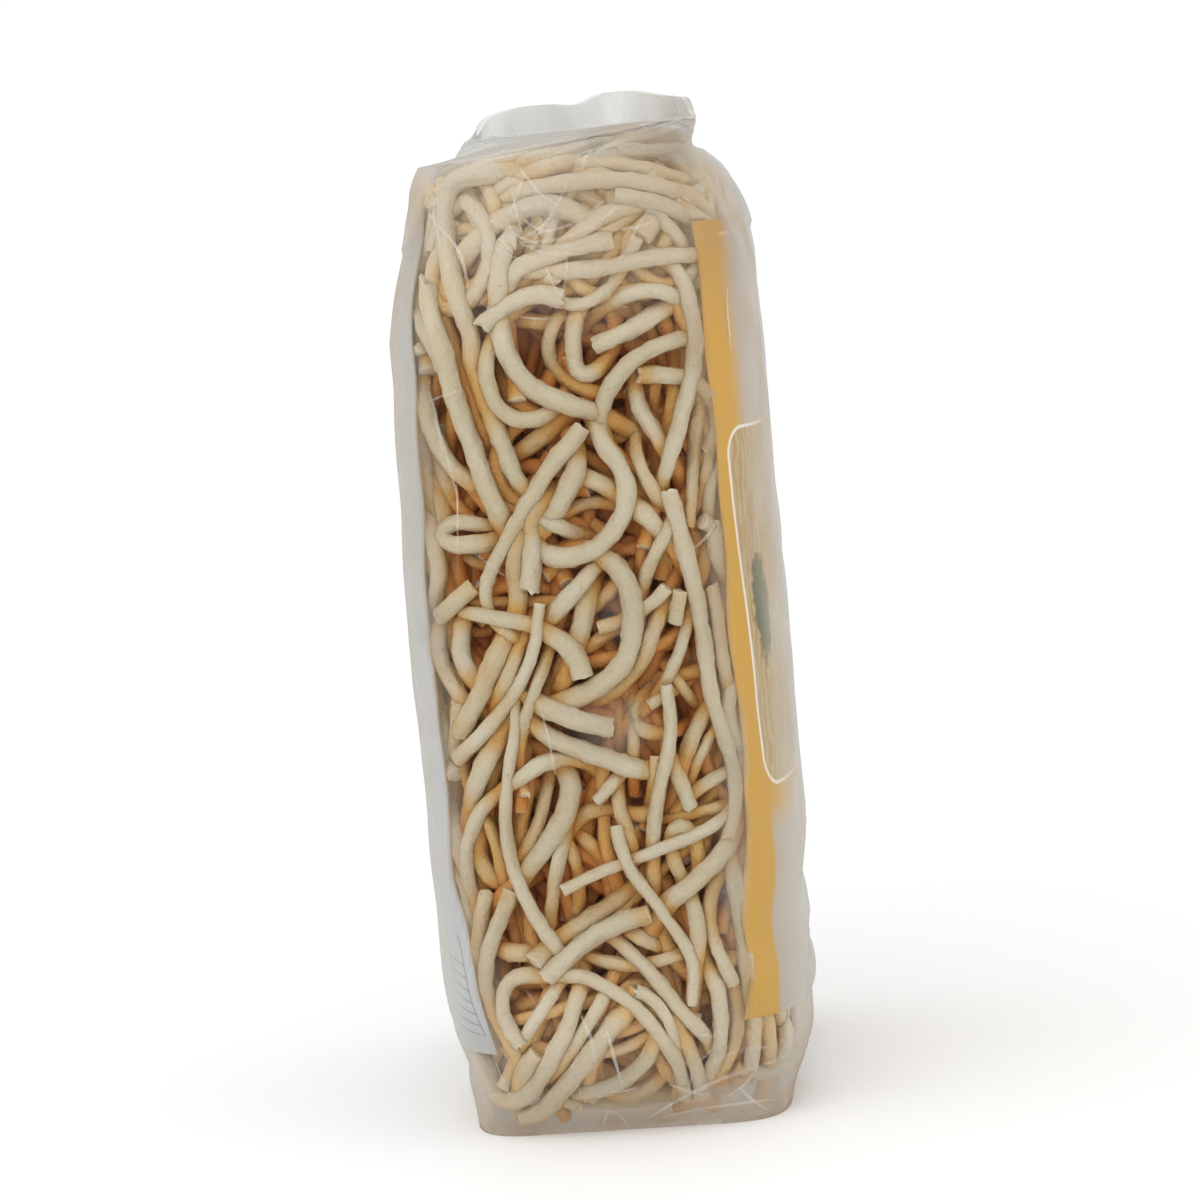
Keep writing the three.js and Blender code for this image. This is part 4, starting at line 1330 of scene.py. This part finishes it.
def core_piece(material):
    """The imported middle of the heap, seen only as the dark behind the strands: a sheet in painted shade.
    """
    turns = np.arange(CORE_COLUMNS) / CORE_COLUMNS
    heights = np.linspace(CORE_FOOT, CORE_HEAD, CORE_ROWS)
    ends = np.minimum(heights - heights[0], heights[-1] - heights)
    to_front = FRONT_REACH - np.abs(off_middle(turns, 0))
    to_back = BACK_REACH - np.abs(off_middle(turns, 0.5))
    hidden = ramp((np.maximum(to_front, to_back) * GIRTH - 4) / 14)
    drawn = CORE_DEPTH + (CORE_DEPTH_HIDDEN - CORE_DEPTH) * hidden[None, :]
    drawn = drawn + CORE_ENDS_DRAWN * (1 - ramp(ends / 12))[:, None]
    wall, outward = skin(turns[None, :], heights[:, None])
    ridges = np.sin(turns[None, :] * GIRTH / 2.1 + 3 * np.sin(heights[:, None] / 17))
    ridges = ridges * np.cos(heights[:, None] / 11 + 2 * np.sin(turns[None, :] * 19))
    wall = wall + outward * (CORE_RIDGES * ridges - drawn)[..., None]
    faces = grid_faces(CORE_ROWS, CORE_COLUMNS, True)
    faces.append(list(range(CORE_COLUMNS))[::-1])
    faces.append([(CORE_ROWS - 1) * CORE_COLUMNS + i for i in range(CORE_COLUMNS)])
    piece = new_piece("noodle_core", wall.reshape(-1, 3), faces, material)
    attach(piece, "root")
    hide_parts("noodle_bag")
    return piece


# ---- Materials ----
def linear(red, green, blue):
    """A screen colour, 0 to 255, as Blender's linear one."""
    parts = [c / 255 for c in (red, green, blue)]
    return tuple(c / 12.92 if c <= 0.04045 else ((c + 0.055) / 1.055) ** 2.4 for c in parts) + (1.0,)


class Nodes:
    """A short way to build a material's node tree."""

    def __init__(self, name):
        self.material = bpy.data.materials.new(name)
        self.material.use_nodes = True
        self.tree = self.material.node_tree
        self.tree.nodes.clear()

    def add(self, kind, inputs=None, **settings):
        """A node whose inputs are values or other nodes' outputs."""
        node = self.tree.nodes.new(kind)
        for key, value in settings.items():
            setattr(node, key, value)
        for key, value in (inputs or {}).items():
            if isinstance(value, bpy.types.NodeSocket):
                self.tree.links.new(value, node.inputs[key])
            else:
                node.inputs[key].default_value = value
        return node

    def noise(self, vector, scale, detail, rough=0.5):
        inputs = {"Vector": vector, "Scale": scale, "Detail": detail, "Roughness": rough}
        return self.add("ShaderNodeTexNoise", inputs).outputs["Fac"]

    def span(self, value, low, high, to_low=0.0, to_high=1.0):
        """A value's place from low to high, as a place from to_low to to_high."""
        inputs = {"Value": value, "From Min": low, "From Max": high, "To Min": to_low, "To Max": to_high}
        return self.add("ShaderNodeMapRange", inputs).outputs["Result"]

    def math(self, operation, first, second=0.0):
        node = self.add("ShaderNodeMath", {0: first, 1: second}, operation=operation)
        return node.outputs[0]

    def plus(self, first, second):
        return self.math("ADD", first, second)

    def minus(self, first, second):
        return self.math("SUBTRACT", first, second)

    def times(self, first, second):
        return self.math("MULTIPLY", first, second)

    def higher(self, first, second):
        return self.math("MAXIMUM", first, second)

    def lower(self, first, second):
        return self.math("MINIMUM", first, second)

    def size(self, value):
        """A value without its sign."""
        return self.math("ABSOLUTE", value)

    def mix(self, share, first, second):
        """One colour turned into a second one by a share."""
        node = self.add("ShaderNodeMix", data_type="RGBA")
        for socket, value in ((node.inputs[0], share), (node.inputs[6], first), (node.inputs[7], second)):
            if isinstance(value, bpy.types.NodeSocket):
                self.tree.links.new(value, socket)
            else:
                socket.default_value = value
        return node.outputs[2]

    def value(self, name):
        """A value stored on the points of the mesh."""
        return self.add("ShaderNodeAttribute", attribute_name=name).outputs["Fac"]

    def place(self):
        """The place in space, in metres."""
        return self.add("ShaderNodeTexCoord").outputs["Object"]

    def on_card(self):
        """The place on a card in millimetres, then its two parts: across from the middle, and up."""
        flat = self.add("ShaderNodeUVMap", uv_map="flat").outputs[0]
        parts = self.add("ShaderNodeSeparateXYZ", {0: flat})
        return flat, parts.outputs[0], parts.outputs[1]

    def wave(self, vector, scale, distortion, detail_scale):
        inputs = {"Vector": vector, "Scale": scale, "Distortion": distortion, "Detail": 2.0}
        inputs["Detail Scale"] = detail_scale
        return self.add("ShaderNodeTexWave", inputs).outputs["Fac"]

    def relief(self, height, strength, distance):
        """A normal that follows a field of heights."""
        inputs = {"Height": height, "Strength": strength, "Distance": distance}
        return self.add("ShaderNodeBump", inputs).outputs[0]

    def clear(self, colour):
        return self.add("ShaderNodeBsdfTransparent", {"Color": colour}).outputs[0]

    def matter(self, colour, roughness, more=None):
        """A Principled shader, with more inputs by name where they are wanted."""
        inputs = {"Base Color": colour, "Roughness": roughness, **(more or {})}
        return self.add("ShaderNodeBsdfPrincipled", inputs).outputs[0]

    def blend(self, share, first, second):
        return self.add("ShaderNodeMixShader", {0: share, 1: first, 2: second}).outputs[0]

    def finish(self, surface):
        self.add("ShaderNodeOutputMaterial", {"Surface": surface})
        return self.material


def noodle_material():
    """Dry wheat dough: cream, slightly mottled, whiter where it is cut. Painted shade makes it golden and
    then brown where other strands cover it, on the side towards the heap and deeper in; painted light
    makes it paler near the roof and the foot.
    """
    n = Nodes("noodle_dough")
    place = n.place()
    cream = n.mix(n.value("tone"), linear(201, 194, 173), linear(191, 181, 154))
    blotches = n.span(n.noise(place, 130, 3), 0.35, 0.7)
    colour = n.mix(n.times(blotches, 0.4), cream, linear(181, 157, 110))
    mottle = n.span(n.noise(place, 520, 3, 0.6), 0.35, 0.65)
    colour = n.mix(n.times(mottle, 0.22), colour, linear(206, 198, 178))
    # Painted shade: golden, then brown, from the stored shade (cover and the side towards the heap) and
    # from the depth under the film.
    shade = n.plus(n.value("shade"), n.span(n.value("deep"), 4, 12, 0, 0.6))
    colour = n.mix(n.span(shade, 0.05, 0.95, 0, 0.95), colour, linear(192, 150, 80))
    colour = n.mix(n.span(shade, 0.9, 1.8, 0, 0.9), colour, linear(188, 99, 8))
    height = n.add("ShaderNodeSeparateXYZ", {0: place}).outputs[2]
    pale = n.mix(n.span(shade, 0.3, 1.1), linear(226, 216, 194), linear(244, 212, 152))
    # The strands are paler near the roof and at the foot, where light comes in.
    lit = n.higher(n.span(height, 0.165, 0.192, 0, 0.8), n.span(height, 0.05, 0.024, 0, 0.45))
    colour = n.mix(lit, colour, pale)
    specks = n.span(n.noise(place, 900, 1), 0.76, 0.8)
    colour = n.mix(n.times(specks, 0.5), colour, linear(150, 110, 62))
    colour = n.mix(n.times(n.value("cut"), 0.5), colour, linear(226, 218, 196))
    grain = n.noise(place, 1500, 4, 0.6)
    pits = n.noise(place, 620, 3)
    rough = n.plus(n.times(grain, 0.5), pits)
    return n.finish(n.matter(colour, n.span(grain, 0.3, 0.7, 0.5, 0.68), {
        "Specular IOR Level": 0.3, "Normal": n.relief(rough, 0.8, 0.0008),
        "Subsurface Weight": 0.5, "Subsurface Radius": (1.0, 0.86, 0.64), "Subsurface Scale": 0.0022,
    }))


def core_material():
    """Painted shade of the heap's depths: warm and darker than the dough, in uneven runs."""
    n = Nodes("painted_shade_depths")
    runs = n.wave(n.place(), 60, 14, 1.2)
    colour = n.mix(n.span(runs, 0.2, 0.8), linear(184, 88, 5), linear(204, 124, 26))
    return n.finish(n.matter(colour, 0.8))


def film_material():
    """Clear film: see-through, with a little haze that grows at grazing angles, and a gloss."""
    n = Nodes("clear_film")
    place = n.place()
    crumple = n.relief(n.noise(place, 260, 3, 0.6), 0.12, 0.0006)
    tan = n.times(n.value("tan"), n.span(n.noise(place, 55, 2), 0.35, 0.65, 0.6, 1.4))
    milk_colour = n.mix(tan, linear(202, 202, 196), linear(182, 152, 112))
    milk = n.matter(milk_colour, 0.6, {"Specular IOR Level": 0.2})
    gloss_inputs = {"Color": (0.55, 0.55, 0.54, 1), "Roughness": 0.2, "Normal": crumple}
    gloss = n.add("ShaderNodeBsdfGlossy", gloss_inputs).outputs[0]
    patches = n.span(n.noise(place, 34, 2), 0.3, 0.7, 0.6, 1.4)
    haze = n.times(n.value("haze"), patches)
    facing = n.add("ShaderNodeLayerWeight", {"Blend": 0.5}).outputs["Facing"]
    start = n.span(n.value("veil"), 0, 1, 0.56, 0.3)
    grazing = n.span(n.minus(facing, start), 0, 0.4, 0, 0.75)
    body = n.blend(n.higher(haze, grazing), n.clear((0.985, 0.98, 0.975, 1)), milk)
    sheen = n.plus(n.times(n.math("POWER", facing, 4), 0.35), 0.008)
    return n.finish(n.blend(sheen, body, gloss))


def crease_material():
    """A fold in clear film, drawn as a fine pale matte line: partly the fold's own milkiness, partly a
    painted glint along it.
    """
    n = Nodes("film_crease")
    pale = n.matter(linear(238, 235, 226), 0.5, {"Specular IOR Level": 0.3})
    broken = n.span(n.noise(n.place(), 90, 2), 0.35, 0.65, 0.08, 0.34)
    return n.finish(n.blend(broken, n.clear((1, 1, 1, 1)), pale))


def front_card_material():
    """Amber card with a white-lined panel of soft fields of colour."""
    n = Nodes("front_card_print")
    flat, across, up = n.on_card()
    # Distance outside a rounded panel, in millimetres.
    slant = n.span(up, 75, 148, 57.5, 61.4)
    side = n.minus(n.size(across), slant)
    level = n.minus(n.size(n.minus(up, 110)), 32)
    out_x = n.higher(side, 0)
    out_y = n.higher(level, 0)
    square = n.plus(n.times(out_x, out_x), n.times(out_y, out_y))
    inside = n.lower(n.higher(side, level), 0)
    distance = n.minus(n.plus(n.math("SQRT", square), inside), 6)
    panel = n.span(distance, 0.25, -0.25)
    line = n.times(n.span(distance, 0.75, 0.4, 0, 0.85), n.span(distance, -0.3, 0.05))
    amber = n.mix(n.span(up, 23, 189), linear(199, 155, 63), linear(206, 157, 60))
    in_from_edge = n.minus(FRONT_REACH * GIRTH, n.size(across))
    upper = n.times(n.span(in_from_edge, 7, 14), n.span(up, 130, 150))
    lower = n.times(n.span(in_from_edge, 7.6, 8.4), n.span(up, 68, 62))
    amber = n.mix(n.times(n.higher(upper, lower), 0.85), amber, linear(180, 173, 164))
    stretched = n.add("ShaderNodeMapping", {"Vector": flat, "Scale": (0.09, 0.05, 1)}).outputs[0]
    fields = n.noise(stretched, 1, 2)
    picture = n.mix(n.span(fields, 0.35, 0.55), linear(172, 139, 74), linear(178, 155, 118))
    waves = n.wave(stretched, 1.6, 9, 1.5)
    picture = n.mix(n.span(waves, 0.35, 0.75, 0, 0.55), picture, linear(196, 178, 131))
    picture = n.mix(n.span(fields, 0.6, 0.68, 0, 0.6), picture, linear(176, 124, 76))
    # An uneven dark green field lies some way in from the panel's side.
    off_x = n.math("DIVIDE", n.plus(across, 58), 4.5)
    off_y = n.math("DIVIDE", n.minus(up, 110), 11)
    reach = n.plus(n.times(off_x, off_x), n.times(off_y, off_y))
    uneven = n.times(n.noise(flat, 0.3, 2), 3)
    green = n.span(n.plus(reach, uneven), 2.8, 2.2)
    picture = n.mix(n.times(green, 0.85), picture, linear(78, 88, 56))
    colour = n.mix(panel, amber, picture)
    colour = n.mix(line, colour, linear(240, 236, 226))
    return n.finish(n.matter(colour, 0.42))


def back_card_material():
    """White card, a little greener in its upper half, with a plain ruled table near its foot."""
    n = Nodes("back_card_print")
    _, across, up = n.on_card()
    colour = n.mix(n.span(up, 106.5, 107.5), linear(182, 185, 185), linear(176, 178, 173))
    # The table's upright line bends with the card's edge, and its rules slant a little.
    above = n.higher(n.minus(up, 22), 0)
    upright = n.minus(69.8, n.times(n.times(above, above), 0.0108))
    inside = n.minus(upright, across)
    slanted = n.plus(up, n.times(across, 0.16))
    rows = n.size(n.minus(n.math("FRACT", n.math("DIVIDE", slanted, 2.5)), 0.5))
    rule = n.times(n.span(rows, 0.1, 0.05), n.span(up, 40, 39))
    post = n.span(n.size(inside), 0.35, 0.2)
    marks = n.times(n.higher(rule, post), n.span(inside, -0.4, -0.2))
    marks = n.times(marks, n.times(n.span(inside, 9.5, 9), n.span(across, 0, 1)))
    marks = n.times(marks, n.times(n.span(up, 22.5, 23), n.span(up, 45, 44)))
    colour = n.mix(n.times(marks, 0.7), colour, linear(112, 116, 126))
    return n.finish(n.matter(colour, 0.4))


def floor_material():
    n = Nodes("studio_floor")
    colour = n.mix(n.noise(n.place(), 3, 1), (0.97, 0.97, 0.97, 1), (0.98, 0.98, 0.98, 1))
    return n.finish(n.matter(colour, 0.7))


# ---- Studio ----
FLOOR_REACH = 6  # metres
SKY_STRENGTH = 1.03
KEY_PLACE = (-150, -450, 560)
KEY_TARGET = (0, 0, 105)
KEY_SIZE = 0.5  # metres
KEY_POWER = 0.8


def look_at(place, target, roll=0.0):
    """A matrix that puts a camera or lamp at a place in millimetres, facing a target."""
    place, target = np.array(place, float), np.array(target, float)
    back = place - target
    back /= np.linalg.norm(back)
    right = np.cross([0, 0, 1], back)
    right /= np.linalg.norm(right)
    up = np.cross(back, right)
    turned_right = right * math.cos(roll) - up * math.sin(roll)
    turned_up = right * math.sin(roll) + up * math.cos(roll)
    matrix = Matrix(np.column_stack([turned_right, turned_up, back]).tolist()).to_4x4()
    matrix.translation = Vector(place * MM)
    return matrix


def add_camera():
    data = bpy.data.cameras.new("camera")
    data.lens = CAMERA_LENS
    data.sensor_width = SENSOR_WIDTH
    data.clip_start = 0.01
    camera = bpy.data.objects.new("camera", data)
    camera.matrix_world = look_at(CAMERA_PLACE, CAMERA_TARGET, CAMERA_ROLL)
    bpy.context.scene.collection.objects.link(camera)
    bpy.context.scene.camera = camera


def add_key_light():
    data = bpy.data.lights.new("key", "AREA")
    data.shape = "DISK"
    data.size = KEY_SIZE
    data.energy = KEY_POWER
    lamp = bpy.data.objects.new("key", data)
    lamp.matrix_world = look_at(KEY_PLACE, KEY_TARGET)
    bpy.context.scene.collection.objects.link(lamp)


def add_sky():
    world = bpy.data.worlds.new("studio")
    world.use_nodes = True
    background = world.node_tree.nodes["Background"]
    background.inputs["Color"].default_value = (1, 1, 1, 1)
    background.inputs["Strength"].default_value = SKY_STRENGTH
    bpy.context.scene.world = world
    bpy.context.scene.view_settings.view_transform = "Standard"


def add_floor():
    floor = bpy.data.objects.new("floor", bpy.data.meshes.new("floor"))
    corners = [(x * FLOOR_REACH, y * FLOOR_REACH, 0) for x, y in ((-1, -1), (1, -1), (1, 1), (-1, 1))]
    floor.data.from_pydata(corners, [], [(0, 1, 2, 3)])
    floor.data.materials.append(floor_material())
    bpy.context.scene.collection.objects.link(floor)


# ---- Everything together ----
def main():
    add_camera()
    add_floor()
    add_sky()
    add_key_light()
    bare_side = [side_strand(*strand) for strand in SIDE_STRANDS]
    behind = wall_strands(on_bare_side, total=8500, depths=(6, 12.5), lengths=(35, 90))
    behind += wall_strands(at_card_edge, total=3600, depths=(2.5, 9), lengths=(25, 90))
    behind += wall_strands(under_shoulder, total=1500, depths=(3, 7), lengths=(25, 80))
    walls = wall_strands(on_other_walls, total=15500, depths=(0, 8), lengths=(40, 150))
    ends = level_strands(on_top=True, total=4800) + level_strands(on_top=False, total=3600)
    strands = settle(bare_side + behind + walls + ends)
    dough = noodle_material()
    strand_piece("noodles_bare_side", bare_side, NEAR_SIDES, dough)
    strand_piece("noodles_behind", behind, FAR_SIDES, dough)
    strand_piece("noodles_other_walls", walls, FAR_SIDES, dough)
    strand_piece("noodles_ends", ends, FAR_SIDES, dough)
    core_piece(core_material())
    film_pieces(strands, film_material())
    card_piece("front", 0, front_card_material())
    card_piece("back", 0.5, back_card_material())


main()
